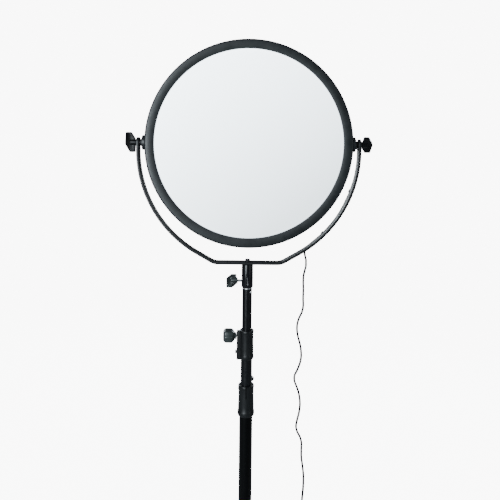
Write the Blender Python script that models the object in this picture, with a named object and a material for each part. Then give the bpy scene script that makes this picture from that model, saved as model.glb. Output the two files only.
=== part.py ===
"""Round LED soft light in a yoke, on a telescopic tripod stand, with its mains lead.

Metres, +Z up. The origin lies on the floor, midway between the outermost points
of the tripod's feet. The light faces -Y and tilts about X. The stand's tubes
share one vertical axis, which the empty stand_axis carries.

Two drawing frames are used. Pieces of the stand are drawn about their own
vertical axis, with heights above the floor. Pieces of the head and the yoke are
drawn in front view: x to the right, y up, z towards the viewer, and the origin
on the tilt axis.
"""

import math

import bmesh
import bpy
import numpy as np
from mathutils import Matrix, Vector

# Clearances
GAP = 0.0003
RUNNING = 0.0003
MERGE = 0.00002

# Heights above the floor
MIDDLE_COLLAR_HEIGHT = 0.8640
MAIN_TUBE_FOOT = 0.0750
LEG_PIVOT_HEIGHT = 0.4700
BRACE_PIVOT_HEIGHT = 0.1000

# Head
HEAD_RADIUS = 0.235
HEAD_DEPTH = 0.038
RING_WALL = 0.003
FACE_INNER_RADIUS = 0.2125
FACE_THICKNESS = 0.0025
RING_EDGE_ROUND = 0.0045
LIP_ROUND = 0.0008
LEDGE_WIDTH = 0.008
LEDGE_THICKNESS = 0.002
DIFFUSER_THICKNESS = 0.002
DIFFUSER_STEP = 0.0008
DIFFUSER_STEP_RADIUS = 0.2055
GUIDE_THICKNESS = 0.003
REFLECTOR_THICKNESS = 0.0006
STRIP_THICKNESS = 0.0012
CHIP_HEIGHT = 0.0012
CHIP_COUNT = 24
TRAY_THICKNESS = 0.0015
COVER_THICKNESS = 0.0025
COVER_DISH_RADIUS = 0.188
COVER_DISH_DEPTH = 0.003
VENT_ROWS = 2
VENTS_IN_ROW = 6
VENT_LENGTH = 0.026
VENT_WIDTH = 0.004
VENT_ROW_PITCH = 0.014
BOSS_RADIUS = 0.017
BOSS_FACE = 0.2414
HEAD_SEGMENTS = 56

# Control box on the back of the head
BOX_WIDTH = 0.152
BOX_HEIGHT = 0.104
BOX_DEPTH = 0.032
BOX_WALL = 0.0025
BOX_CORNER = 0.012
BOX_DRAFT = 0.94
WINDOW_WIDTH = 0.044
WINDOW_HEIGHT = 0.020
WINDOW_RISE = 0.020
DIAL_RADIUS = 0.0105
DIAL_HEIGHT = 0.0120
DIAL_RISE = -0.012
DIAL_SPACING = 0.066
ROCKER_WIDTH = 0.019
ROCKER_HEIGHT = 0.013
ROCKER_RISE = -0.033
ROCKER_REST = math.radians(8)
BOARD_THICKNESS = 0.0016
INLET_WIDTH = 0.015
INLET_HEIGHT = 0.009
INLET_DEPTH = 0.014
INLET_SOCKET_DEPTH = 0.010
INLET_FACE = 0.0750
INLET_LEVEL = -0.0340
BOARD_LEVEL = -0.0215
BOARD_MARGIN = 0.012
POST_RADIUS = 0.003
POST_REACH_X = 0.056
POST_REACH_Y = 0.034
CONNECTOR_BODY = 0.0120

# Yoke, a bent flat bar, in front view from the tilt axis
BAR_THICKNESS = 0.006
BAR_WIDTH = 0.025
YOKE_ARM_REACH = 0.2509
YOKE_ARC_RADIUS = 0.2677
YOKE_ARC_DROP = 0.015
YOKE_ARC_SWEEP = math.radians(60.5)
YOKE_BOTTOM_DROP = 0.2703
YOKE_BEND_RADIUS = 0.035
SCREW_RADIUS = 0.003
SCREW_CLEARANCE = 0.0005
BUSH_RADIUS = 0.008
RECEIVER_RADIUS = 0.0131
RECEIVER_LENGTH = 0.0518
STUD_RADIUS = 0.008
SLOT_WIDTH = 0.0036
SLOT_LENGTH = 0.018
BOLT_RADIUS = 0.004
BOLT_HEAD_RADIUS = 0.0064
BOLT_HEAD_HEIGHT = 0.0052
BOLT_ENGAGEMENT = 0.010

# Wing knob
WING_REACH = 0.0235
WING_THICKNESS = 0.0085
WING_KNOB_LENGTH = 0.0265
WING_HUB_RADIUS = 0.0072
# Lobed knob
LOBED_RADIUS = 0.0167
LOBED_LENGTH = 0.026
LOBED_NECK_RADIUS = 0.0075
LOBED_NECK_LENGTH = 0.0032
LOBE_COUNT = 8
LOBE_DEPTH = 0.0016
# Turns of the wing knobs on their screws, as they were left
WING_TURN_LEFT = math.pi
WING_TURN_RIGHT = math.radians(140)
WING_TURN_RECEIVER = 0.0
WING_TURN_MIDDLE = math.radians(45)
RECEIVER_STANDOFF = 0.008
MIDDLE_AZIMUTH = math.pi / 2
WASHER_THICKNESS = 0.0012

# Stand tubes
TOP_RISER_RADIUS = 0.011
MIDDLE_RISER_RADIUS = 0.013
MAIN_TUBE_RADIUS = 0.015
TUBE_WALL = 0.0012
RISER_LENGTH = 0.82
BUSH_LENGTH = 0.020
MIDDLE_RISER_SHOWN = 0.1270
TOP_RISER_SHOWN = 0.1597
STUD_PLUG = 0.025
STUD_FLANGE_HEIGHT = 0.0033
STUD_LENGTH = 0.0385
STUD_SCREW_RISE = 0.0146
STUD_PIN_DROP = 0.0064
STUD_PIN_AZIMUTH = math.radians(-46)
TUBE_SEGMENTS = 18

# Clamp collars
UPPER_COLLAR_LENGTH = 0.067
MIDDLE_COLLAR_LENGTH = 0.070
COLLAR_WALL = 0.0024
COLLAR_BEAD = 0.0008
COLLAR_SEAT_SHARE = 0.55
LUG_REACH = 0.0082
LUG_WIDTH = 0.015
SLIT_WIDTH = 0.002
UPPER_KNOB_DROP = 0.0145
UPPER_BOLT_RISE = 0.0164
MIDDLE_KNOB_DROP = 0.015

# Heights that follow, each from the piece below it
UPPER_COLLAR_HEIGHT = MIDDLE_COLLAR_HEIGHT + MIDDLE_RISER_SHOWN
TOP_RISER_HEIGHT = UPPER_COLLAR_HEIGHT + TOP_RISER_SHOWN
STUD_PIN_HEIGHT = TOP_RISER_HEIGHT - STUD_PIN_DROP
STUD_SHOULDER_HEIGHT = TOP_RISER_HEIGHT + STUD_FLANGE_HEIGHT
RECEIVER_SCREW_HEIGHT = STUD_SHOULDER_HEIGHT + STUD_SCREW_RISE
STUD_TOP = STUD_SHOULDER_HEIGHT + STUD_LENGTH
RECEIVER_TOP = STUD_SHOULDER_HEIGHT + 2 * GAP + RECEIVER_LENGTH
TILT_HEIGHT = RECEIVER_TOP + GAP + BAR_THICKNESS / 2 + YOKE_BOTTOM_DROP

# Tripod
LEG_AZIMUTHS = tuple(math.radians(a) for a in (90, 210, 330))
LEG_LEAN = math.radians(43)
LEG_PIVOT_RADIUS = 0.033
LEG_RADIUS = 0.0095
LEG_WALL = 0.0010
LEG_LENGTH = 0.610
LEG_EYE_WIDTH = 0.0134
LEG_EYE_RADIUS = 0.0075
LEG_EYE_LENGTH = 0.014
PIN_RADIUS = 0.003
EAR_THICKNESS = 0.003
EAR_RADIUS = 0.0085
LEG_COLLAR_RADIUS = 0.0205
LEG_COLLAR_LENGTH = 0.040
LEG_KNOB_AZIMUTH = math.radians(150)
LEG_BOSS_FACE = 0.0245
BRACE_LUG_LENGTH = 0.026
BRACE_LUG_RADIUS = 0.0065
BRACE_LUG_WIDTH = 0.0200
BRACE_PIVOT_RADIUS = 0.0240
BRACE_ON_LEG = 0.300
BRACE_OFFSET = 0.012
BRACE_FLANGE = 0.002
BRACE_WIDTH = 0.014
BRACE_SIDE_CLEARANCE = 0.001
BRACE_WEB_MARGIN = 0.030
BRACE_COLLAR_RADIUS = 0.0180
BRACE_COLLAR_LENGTH = 0.030
FOOT_RADIUS = 0.017
FOOT_LENGTH = 0.065
FOOT_BEYOND = 0.030
FOOT_EDGE = 0.003

# Mains lead
CORD_DIAMETER = 0.005
CORD_SPACING = 2.8
DROP_SPACING = 3.2
RELIEF_LENGTH = 0.024
COIL_CENTRE = (0.2035, 0.1175)
COIL_TURNS = 6
COIL_MEAN_RADIUS = 0.029
COIL_PITCH = 0.0057
COIL_LIFT = 0.0036
COIL_POINTS = 24
COIL_START = math.radians(-38)
COIL_TAIL = 0.030
PLUG_AXIS_HEIGHT = 0.0073
TIE_WIDTH = 0.014
TIE_THICKNESS = 0.0006
CLIP_LENGTH = 0.008
HEAD_CLIP_REACH = 0.2120
HEAD_CLIP_RISE = 0.0001
HEAD_CLIP_DEPTH = -0.0228
# The points of the yoke's route that the clips hold
YOKE_CLIPS = {"yoke_cord_clip_upper": 9, "yoke_cord_clip_lower": 14}

# Route points of the lead about the stand's axis: right, back, up from the floor
HEAD_RUN = (
    (0.1116, 0.0340, 1.4800),
    (0.1180, 0.0340, 1.4800),
    (0.1400, 0.0318, 1.4803),
    (0.1680, 0.0262, 1.4806),
    (0.1900, 0.0232, 1.4804),
    (0.2120, 0.0228, 1.4801),
    (0.2290, 0.0228, 1.4800),
    (0.2355, 0.0228, 1.4800),
)
YOKE_RUN = (
    (0.2358, 0.0228, 1.4800),
    (0.2400, 0.0228, 1.4800),
    (0.2455, 0.0226, 1.4774),
    (0.2513, 0.0218, 1.4719),
    (0.2553, 0.0207, 1.4630),
    (0.2562, 0.0194, 1.4500),
    (0.2540, 0.0180, 1.4340),
    (0.2485, 0.0169, 1.4150),
    (0.2435, 0.0167, 1.4000),
    (0.2348, 0.0167, 1.3734),
    (0.2258, 0.0167, 1.3528),
    (0.2150, 0.0167, 1.3311),
    (0.2025, 0.0167, 1.3110),
    (0.1883, 0.0167, 1.2929),
    (0.1725, 0.0167, 1.2757),
    (0.1600, 0.0167, 1.2643),
    (0.1478, 0.0167, 1.2541),
    (0.1380, 0.0168, 1.2453),
    (0.1325, 0.0168, 1.2365),
    (0.1315, 0.0168, 1.2290),
    (0.1334, 0.0168, 1.2200),
    (0.1348, 0.0168, 1.2140),
    (0.1348, 0.0168, 1.2066),
)
DROP_RUN = (
    (0.1348, 0.0168, 1.2063),
    (0.1348, 0.0168, 1.1995),
    (0.1320, 0.0168, 1.1883),
    (0.1296, 0.0168, 1.1778),
    (0.1290, 0.0168, 1.1634),
    (0.1295, 0.0168, 1.1450),
    (0.1291, 0.0168, 1.1250),
    (0.1295, 0.0168, 1.1074),
    (0.1266, 0.0168, 1.0932),
    (0.1192, 0.0168, 1.0769),
    (0.1158, 0.0168, 1.0600),
    (0.1176, 0.0168, 1.0400),
    (0.1240, 0.0168, 1.0160),
    (0.1262, 0.0168, 0.9944),
    (0.1242, 0.0168, 0.9788),
    (0.1179, 0.0168, 0.9609),
    (0.1115, 0.0168, 0.9477),
    (0.1111, 0.0168, 0.9355),
    (0.1158, 0.0168, 0.9230),
    (0.1218, 0.0168, 0.9054),
    (0.1246, 0.0168, 0.8831),
    (0.1227, 0.0168, 0.8631),
    (0.1180, 0.0168, 0.8431),
    (0.1160, 0.0168, 0.8298),
    (0.1190, 0.0168, 0.8175),
    (0.1256, 0.0168, 0.8052),
    (0.1289, 0.0168, 0.7920),
    (0.1288, 0.0168, 0.7764),
    (0.1291, 0.0168, 0.7585),
    (0.1320, 0.0168, 0.7385),
    (0.1343, 0.0168, 0.7160),
    (0.1340, 0.0168, 0.6900),
    (0.1312, 0.0168, 0.6550),
    (0.1294, 0.0168, 0.6150),
    (0.1312, 0.0168, 0.5700),
    (0.1340, 0.0168, 0.5250),
    (0.1328, 0.0168, 0.4750),
    (0.1298, 0.0168, 0.4250),
    (0.1296, 0.0168, 0.3750),
    (0.1325, 0.0168, 0.3200),
    (0.1338, 0.0168, 0.2600),
    (0.1320, 0.0168, 0.2000),
    (0.1313, 0.0168, 0.1500),
    (0.1318, 0.0169, 0.1050),
    (0.1344, 0.0176, 0.0650),
    (0.1420, 0.0196, 0.0330),
    (0.1545, 0.0226, 0.0120),
    (0.1690, 0.0262, 0.0042),
    (0.1830, 0.0358, 0.0036),
    (0.1962, 0.0482, 0.0036),
    (0.2070, 0.0611, 0.0036),
    (0.2144, 0.0706, 0.0036),
)


# Shapes, each a closed bmesh that the caller owns


def turned(profile, segments, closed=False):
    """Spins a profile of (radius, height) points about +Z."""
    shape = bmesh.new()
    points = [shape.verts.new((radius, 0, height)) for radius, height in profile]
    pairs = list(zip(points, points[1:]))
    if closed:
        pairs.append((points[-1], points[0]))
    edges = [shape.edges.new(pair) for pair in pairs]
    bmesh.ops.spin(
        shape,
        geom=points + edges,
        cent=(0, 0, 0),
        axis=(0, 0, 1),
        angle=math.tau,
        steps=segments,
        use_merge=True,
    )
    bmesh.ops.remove_doubles(shape, verts=shape.verts, dist=MERGE)
    bmesh.ops.recalc_face_normals(shape, faces=shape.faces)
    return shape


def rod(radius, low, high, sides=10, edge=0.0):
    """A round bar along Z, with a small chamfer where edge is given."""
    profile = [(0, low), (radius, low), (radius, high - edge), (radius - edge, high), (0, high)]
    return turned(profile if edge else profile[:3] + profile[4:], sides)


def tube(outer, inner, low, high, sides=TUBE_SEGMENTS):
    """An open tube along Z."""
    return turned([(inner, low), (outer, low), (outer, high), (inner, high)], sides, closed=True)


def prism(outline, low, high):
    """Extrudes an outline of (x, y) points from z = low to z = high."""
    shape = bmesh.new()
    face = shape.faces.new([shape.verts.new((x, y, low)) for x, y in outline])
    swept = bmesh.ops.extrude_face_region(shape, geom=[face])["geom"]
    corners = [item for item in swept if isinstance(item, bmesh.types.BMVert)]
    bmesh.ops.translate(shape, verts=corners, vec=(0, 0, high - low))
    bmesh.ops.recalc_face_normals(shape, faces=shape.faces)
    return shape


def arc(centre, radius, start, end, steps):
    """Points on a circle from one angle to another, both ends included."""
    angles = np.linspace(start, end, steps + 1)
    return [(centre[0] + radius * math.cos(a), centre[1] + radius * math.sin(a)) for a in angles]


def rounded_outline(width, height, radius, steps=3):
    """A rectangle about the origin with round corners."""
    reach_x, reach_y = width / 2 - radius, height / 2 - radius
    outline = []
    for quarter, (side_x, side_y) in enumerate(((1, 1), (-1, 1), (-1, -1), (1, -1))):
        centre = (side_x * reach_x, side_y * reach_y)
        start = quarter * math.pi / 2
        outline += arc(centre, radius, start, start + math.pi / 2, steps)
    return outline


def placed(shape, location=(0, 0, 0), turn=0.0, axis="Z"):
    """Turns a shape about one axis, then moves it."""
    matrix = Matrix.Translation(location) @ Matrix.Rotation(turn, 4, axis)
    bmesh.ops.transform(shape, matrix=matrix, verts=shape.verts)
    return shape


def across(shape, location=(0, 0, 0)):
    """Lays a shape drawn along Z down along +X, then moves it."""
    return placed(shape, location, math.pi / 2, "Y")


def combined(base, tool, operation):
    """Unites two shapes, or cuts the second from the first. Both are used up."""
    scene = bpy.context.scene.collection
    pair = []
    for shape in (base, tool):
        mesh = bpy.data.meshes.new("shape")
        shape.to_mesh(mesh)
        shape.free()
        pair.append(bpy.data.objects.new("shape", mesh))
        scene.objects.link(pair[-1])
    modifier = pair[0].modifiers.new("combine", "BOOLEAN")
    modifier.operation = operation
    modifier.object = pair[1]
    result = bmesh.new()
    result.from_object(pair[0], bpy.context.evaluated_depsgraph_get())
    for item in pair:
        bpy.data.meshes.remove(item.data)
    return result


def united(base, *tools):
    for tool in tools:
        base = combined(base, tool, "UNION")
    return base


def cut(base, *tools):
    for tool in tools:
        base = combined(base, tool, "DIFFERENCE")
    return base


def softened(shape, width, segments=2, angle=math.radians(50)):
    """Bevels every edge sharper than the angle."""
    sharp = [e for e in shape.edges if e.is_manifold and e.calc_face_angle() > angle]
    bmesh.ops.bevel(shape, geom=sharp, offset=width, segments=segments, profile=0.5, affect="EDGES")
    return shape


# Frames, materials and objects


def finish(name, colour, roughness, metallic=0.0):
    """A Principled material of one colour."""
    material = bpy.data.materials.new(name)
    material.use_nodes = True
    shader = material.node_tree.nodes["Principled BSDF"]
    shader.inputs["Base Color"].default_value = (*colour, 1)
    shader.inputs["Roughness"].default_value = roughness
    shader.inputs["Metallic"].default_value = metallic
    material.diffuse_color = (*colour, 1)
    return material


def frame(name, parent=None, location=(0, 0, 0), rotation=(0, 0, 0)):
    """An empty that carries pieces, on the axis that they move about."""
    empty = bpy.data.objects.new(name, None)
    empty.parent = parent
    empty.location = location
    empty.rotation_euler = rotation
    bpy.context.scene.collection.objects.link(empty)
    return empty


def add(name, shape, material, parent, location=(0, 0, 0), rotation=(0, 0, 0)):
    """Turns a shape into a named object in its parent's frame."""
    mesh = bpy.data.meshes.new(name)
    shape.to_mesh(mesh)
    shape.free()
    mesh.materials.append(material)
    mesh.shade_smooth()
    mesh.set_sharp_from_angle(angle=math.radians(35))
    return add_copy(name, mesh, parent, location, rotation)


def add_copy(name, mesh, parent, location=(0, 0, 0), rotation=(0, 0, 0)):
    piece = bpy.data.objects.new(name, mesh)
    piece.parent = parent
    piece.location = location
    piece.rotation_euler = rotation
    bpy.context.scene.collection.objects.link(piece)
    return piece


# Head


def head_levels():
    """Depths of the head's layers, measured towards the front from its middle."""
    levels = {"front": HEAD_DEPTH / 2, "back": -HEAD_DEPTH / 2}
    levels["diffuser"] = levels["front"] - FACE_THICKNESS - GAP
    levels["guide"] = levels["diffuser"] - DIFFUSER_THICKNESS - GAP
    levels["reflector"] = levels["guide"] - GUIDE_THICKNESS - GAP
    levels["tray"] = levels["reflector"] - REFLECTOR_THICKNESS - GAP
    levels["cover"] = levels["back"] + COVER_THICKNESS
    levels["ledge"] = levels["cover"] + GAP
    return levels


def head_ring(levels):
    """The frame: an outer wall, a front flange, a ledge for the cover and two bosses."""
    wall = HEAD_RADIUS - RING_WALL
    front, back, ledge = levels["front"], levels["back"], levels["ledge"]
    round_centre = (HEAD_RADIUS - RING_EDGE_ROUND, front - RING_EDGE_ROUND)
    profile = [(HEAD_RADIUS, back)]
    profile += arc(round_centre, RING_EDGE_ROUND, 0, math.pi / 2, 2)
    profile += [
        (FACE_INNER_RADIUS + LIP_ROUND, front),
        (FACE_INNER_RADIUS, front - LIP_ROUND),
        (FACE_INNER_RADIUS, front - FACE_THICKNESS),
        (wall, front - FACE_THICKNESS),
        (wall, ledge + LEDGE_THICKNESS),
        (wall - LEDGE_WIDTH, ledge + LEDGE_THICKNESS),
        (wall - LEDGE_WIDTH, ledge),
        (wall, ledge),
        (wall, back),
    ]
    ring = turned(profile, HEAD_SEGMENTS, closed=True)
    hole = SCREW_RADIUS + SCREW_CLEARANCE
    depth = RING_WALL / 2
    for side in (1, -1):
        boss = across(rod(BOSS_RADIUS, wall + depth, BOSS_FACE, 20, LIP_ROUND))
        screw_hole = across(rod(hole, wall + depth, BOSS_FACE + RING_WALL, 12))
        if side < 0:
            placed(boss, turn=math.pi)
            placed(screw_hole, turn=math.pi)
        ring = cut(united(ring, boss), screw_hole)
    return ring


def diffuser(levels):
    """The opal sheet, raised a little inside its edge."""
    radius = HEAD_RADIUS - RING_WALL - GAP
    front = levels["diffuser"]
    step_out = DIFFUSER_STEP_RADIUS + 2 * DIFFUSER_STEP
    profile = [
        (0, front - DIFFUSER_THICKNESS),
        (radius, front - DIFFUSER_THICKNESS),
        (radius, front),
        (step_out, front),
        (DIFFUSER_STEP_RADIUS, front + DIFFUSER_STEP),
        (0, front + DIFFUSER_STEP),
    ]
    return turned(profile, HEAD_SEGMENTS)


def led_strip(levels):
    """A flexible board along the ring's wall, with chips that face inwards."""
    outer = HEAD_RADIUS - RING_WALL - GAP
    inner = outer - STRIP_THICKNESS
    low = levels["tray"] + GAP
    strip = bmesh.new()
    faces = []
    step = math.tau / CHIP_COUNT
    for index in range(CHIP_COUNT):
        start = index * step
        corners = [
            (inner, 0.0),
            (inner, 0.35),
            (inner - CHIP_HEIGHT, 0.35),
            (inner - CHIP_HEIGHT, 0.65),
            (inner, 0.65),
        ]
        faces += [(r, start + share * step) for r, share in corners]
    edge = [strip.verts.new((r * math.cos(a), r * math.sin(a), low)) for r, a in faces]
    rim = []
    for index in range(HEAD_SEGMENTS):
        angle = index * math.tau / HEAD_SEGMENTS
        rim.append(strip.verts.new((outer * math.cos(angle), outer * math.sin(angle), low)))
    loops = [strip.edges.new(pair) for pair in zip(edge, edge[1:] + edge[:1])]
    loops += [strip.edges.new(pair) for pair in zip(rim, rim[1:] + rim[:1])]
    bmesh.ops.triangle_fill(strip, use_beauty=True, edges=loops)
    swept = bmesh.ops.extrude_face_region(strip, geom=strip.faces[:])["geom"]
    corners = [item for item in swept if isinstance(item, bmesh.types.BMVert)]
    height = levels["guide"] - low
    bmesh.ops.translate(strip, verts=corners, vec=(0, 0, height))
    bmesh.ops.recalc_face_normals(strip, faces=strip.faces)
    return strip


def back_cover(levels):
    """A dished plate with two rows of vent slots above the control box."""
    radius = HEAD_RADIUS - RING_WALL - GAP
    front, back = levels["cover"], levels["back"]
    slope = 2 * COVER_DISH_DEPTH
    profile = [
        (0, back + COVER_DISH_DEPTH),
        (COVER_DISH_RADIUS, back + COVER_DISH_DEPTH),
        (COVER_DISH_RADIUS + slope, back),
        (radius, back),
        (radius, front),
        (COVER_DISH_RADIUS + slope, front),
        (COVER_DISH_RADIUS, front + COVER_DISH_DEPTH),
        (0, front + COVER_DISH_DEPTH),
    ]
    cover = turned(profile, HEAD_SEGMENTS)
    first_row = BOX_HEIGHT / 2 + VENT_ROW_PITCH
    pitch = VENT_LENGTH + 2 * VENT_WIDTH
    for row in range(VENT_ROWS):
        for column in range(VENTS_IN_ROW):
            across_by = (column - (VENTS_IN_ROW - 1) / 2) * pitch
            outline = rounded_outline(VENT_LENGTH, VENT_WIDTH, VENT_WIDTH / 3, 1)
            slot = prism(outline, back - COVER_DISH_DEPTH, front + 2 * COVER_DISH_DEPTH)
            cover = cut(cover, placed(slot, (across_by, first_row + row * VENT_ROW_PITCH, 0)))
    return cover


def box_face(levels):
    """Depth of the dished cover's outside, where the control box sits."""
    return levels["back"] + COVER_DISH_DEPTH - GAP


# Control box


def drafted_box(width, height, corner, low, high, draft):
    """A box with round corners whose far end, at low, is a little smaller."""
    shape = prism(rounded_outline(width, height, corner), low, high)
    for vert in shape.verts:
        if abs(vert.co.z - low) < MERGE:
            vert.co.x *= draft
            vert.co.y *= draft
    return shape


def control_box(levels):
    """A moulded shell, open towards the cover, with posts for the board."""
    top = box_face(levels)
    bottom = top - BOX_DEPTH
    inner = bottom + BOX_WALL
    shell = drafted_box(BOX_WIDTH, BOX_HEIGHT, BOX_CORNER, bottom, top, BOX_DRAFT)
    rim = [e for e in shell.edges if max(abs(v.co.z - bottom) for v in e.verts) < MERGE]
    bmesh.ops.bevel(shell, geom=rim, offset=BOX_WALL, segments=2, profile=0.5, affect="EDGES")
    cavity = drafted_box(
        BOX_WIDTH - 2 * BOX_WALL,
        BOX_HEIGHT - 2 * BOX_WALL,
        BOX_CORNER - BOX_WALL,
        inner,
        top + BOX_WALL,
        BOX_DRAFT,
    )
    shell = cut(shell, cavity)
    for side_x in (1, -1):
        for side_y in (1, -1):
            post = rod(POST_RADIUS, bottom + BOX_WALL / 2, BOARD_LEVEL - BOARD_THICKNESS - GAP, 8)
            place = (side_x * POST_REACH_X, side_y * POST_REACH_Y, 0)
            shell = united(shell, placed(post, place))
    window = prism(
        rounded_outline(WINDOW_WIDTH + 2 * GAP, WINDOW_HEIGHT + 2 * GAP, 0.002, 2),
        bottom - BOX_WALL,
        inner + BOX_WALL,
    )
    rocker = prism(
        rounded_outline(ROCKER_WIDTH, ROCKER_HEIGHT, GAP, 1), bottom - BOX_WALL, inner + BOX_WALL
    )
    inlet = across(
        prism(
            rounded_outline(INLET_HEIGHT + 2 * GAP, INLET_WIDTH + 2 * GAP, 0.002, 2),
            INLET_FACE - INLET_DEPTH,
            INLET_FACE + BOX_WALL,
        ),
        (0, 0, INLET_LEVEL),
    )
    cutters = [placed(window, (0, WINDOW_RISE, 0)), placed(rocker, (0, ROCKER_RISE, 0)), inlet]
    for side in (1, -1):
        shaft = rod(SCREW_RADIUS + GAP, bottom - BOX_WALL, inner + BOX_WALL, 12)
        cutters.append(placed(shaft, (side * DIAL_SPACING / 2, DIAL_RISE, 0)))
    return cut(shell, *cutters)


def fluted_outline(radius, flutes, depth, steps):
    """A round outline whose edge rises and falls once for each flute."""
    count = flutes * steps
    outline = []
    for index in range(count):
        angle = index * math.tau / count
        wave = radius - depth * (0.5 - 0.5 * math.cos(flutes * angle))
        outline.append((wave * math.cos(angle), wave * math.sin(angle)))
    return outline


def dial():
    """A knurled cap on its shaft, drawn with the cap towards +Z."""
    cap = prism(fluted_outline(DIAL_RADIUS, 14, 0.0006, 2), GAP, DIAL_HEIGHT)
    return united(cap, rod(SCREW_RADIUS, -2 * BOX_WALL, GAP + BOX_WALL, 12))


def rocker_switch():
    """A rocker inside a circle about its pin, so that it turns clear of its frame."""
    reach = ROCKER_HEIGHT / 2 - GAP
    outline = arc((0, 0), reach, math.radians(205), math.radians(335), 6)
    outline += [(reach * 0.93, reach * 0.36), (0, reach * 0.22), (-reach * 0.93, reach * 0.36)]
    half = ROCKER_WIDTH / 2 - GAP
    return across(prism([(y, x) for x, y in outline], -half, half))


def mains_inlet():
    """A figure-8 socket, drawn along Z with its face up."""
    body = prism(rounded_outline(INLET_HEIGHT, INLET_WIDTH, 0.002, 2), -INLET_DEPTH, 0)
    return cut(body, figure_eight(GAP, -INLET_SOCKET_DEPTH, GAP))


def figure_eight(clearance, low, high):
    """The waisted nose of a two-pole connector, standing along Z."""
    radius = 0.0032 + clearance
    spread = 0.0033
    outline = arc((0, spread), radius, -math.radians(50), math.radians(230), 6)
    outline += arc((0, -spread), radius, math.radians(130), math.radians(410), 6)
    return prism(outline, low, high)


def tapered_relief(length, base_radius, tip_radius):
    """A ribbed strain relief that narrows from base to tip along +Z."""
    ribs = 4
    profile = [(0, 0)]
    for index in range(ribs):
        low = length * index / ribs
        radius = base_radius + (tip_radius - base_radius) * index / (ribs - 1)
        profile += [(radius, low), (radius, low + 0.6 * length / ribs)]
        if index < ribs - 1:
            neck = radius - 0.0007
            profile += [(neck, low + 0.6 * length / ribs), (neck, low + length / ribs)]
    profile += [(0, profile[-1][1])]
    return turned(profile, 8)


def cord_connector():
    """The moulded connector in the inlet, drawn along Z, nose down."""
    nose = figure_eight(0, GAP - INLET_SOCKET_DEPTH, 2 * GAP)
    body = prism(rounded_outline(0.0088, 0.0150, 0.003, 2), GAP, GAP + CONNECTOR_BODY)
    relief = placed(
        tapered_relief(RELIEF_LENGTH, 0.0042, CORD_DIAMETER / 2 + 0.0008),
        (0, 0, CONNECTOR_BODY - GAP),
    )
    return united(body, nose, relief)


# Yoke


def yoke_path():
    """The middle line of the bar's right half, from the arm's top down to the flat."""
    centre = (YOKE_ARM_REACH - YOKE_ARC_RADIUS, -YOKE_ARC_DROP)
    path = [(YOKE_ARM_REACH, BAR_WIDTH / 2)]
    path += arc(centre, YOKE_ARC_RADIUS, 0, -YOKE_ARC_SWEEP, 16)
    end_x, end_y = path[-1]
    slope = math.pi / 2 - YOKE_ARC_SWEEP
    run = (YOKE_BOTTOM_DROP + end_y) / math.sin(slope)
    corner_x = end_x - run * math.cos(slope)
    back = YOKE_BEND_RADIUS * math.tan(slope / 2)
    bend_centre = (corner_x - back, YOKE_BEND_RADIUS - YOKE_BOTTOM_DROP)
    path += arc(bend_centre, YOKE_BEND_RADIUS, slope - math.pi / 2, -math.pi / 2, 4)
    return path


def offset_path(path, distance):
    """A path moved sideways by a distance, to its left as it runs."""
    moved = []
    for index, point in enumerate(path):
        before = Vector(path[max(index - 1, 0)])
        after = Vector(path[min(index + 1, len(path) - 1)])
        along = (after - before).normalized()
        side = Vector((-along.y, along.x)) * distance
        moved.append((point[0] + side.x, point[1] + side.y))
    return moved


def yoke_bar():
    """The flat bar, bent to a U, with full round ends and its three holes."""
    right = yoke_path()
    path = right + [(-x, y) for x, y in reversed(right)]
    half = BAR_THICKNESS / 2
    outline = offset_path(path, half) + offset_path(path, -half)[::-1]
    bar = prism(outline, -BAR_WIDTH / 2, BAR_WIDTH / 2)
    top = BAR_WIDTH / 2
    ends = []
    for edge in bar.edges:
        first, second = (v.co for v in edge.verts)
        level = abs(first.y - top) < MERGE and abs(second.y - top) < MERGE
        if level and abs(first.z - second.z) < MERGE:
            ends.append(edge)
    bmesh.ops.bevel(
        bar, geom=ends, offset=BAR_WIDTH / 2 - 4 * MERGE, segments=4, profile=0.5, affect="EDGES"
    )
    screw = SCREW_RADIUS + SCREW_CLEARANCE
    reach = YOKE_ARM_REACH + BAR_THICKNESS
    holes = [
        across(rod(screw, YOKE_ARM_REACH - BAR_THICKNESS, reach, 12)),
        placed(across(rod(screw, YOKE_ARM_REACH - BAR_THICKNESS, reach, 12)), turn=math.pi),
        placed(
            rod(BOLT_RADIUS + SCREW_CLEARANCE, -BAR_THICKNESS, BAR_THICKNESS, 12),
            (0, -YOKE_BOTTOM_DROP, 0),
            math.pi / 2,
            "X",
        ),
    ]
    return cut(bar, *holes)


def receiver(top, length):
    """The socket for the stand's stud, drawn upright, with a slot in its front."""
    low = top - length
    bore = STUD_RADIUS + RUNNING
    profile = [
        (bore, low),
        (RECEIVER_RADIUS - LIP_ROUND, low),
        (RECEIVER_RADIUS, low + LIP_ROUND),
        (RECEIVER_RADIUS, top - LIP_ROUND),
        (RECEIVER_RADIUS - LIP_ROUND, top),
        (BOLT_RADIUS + GAP, top),
        (BOLT_RADIUS + GAP, STUD_TOP + GAP),
        (bore, STUD_TOP + GAP),
    ]
    sleeve = turned(profile, TUBE_SEGMENTS, closed=True)
    slot = prism(rounded_outline(SLOT_WIDTH, SLOT_LENGTH, SLOT_WIDTH / 2 - MERGE, 3), 0.001, 0.02)
    placed(slot, turn=math.pi / 2, axis="X")
    placed(slot, (0, 0, RECEIVER_SCREW_HEIGHT))
    screw = across(rod(SCREW_RADIUS + GAP, -2 * RECEIVER_RADIUS, -0.001))
    return cut(sleeve, slot, placed(screw, (0, 0, RECEIVER_SCREW_HEIGHT)))


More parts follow.
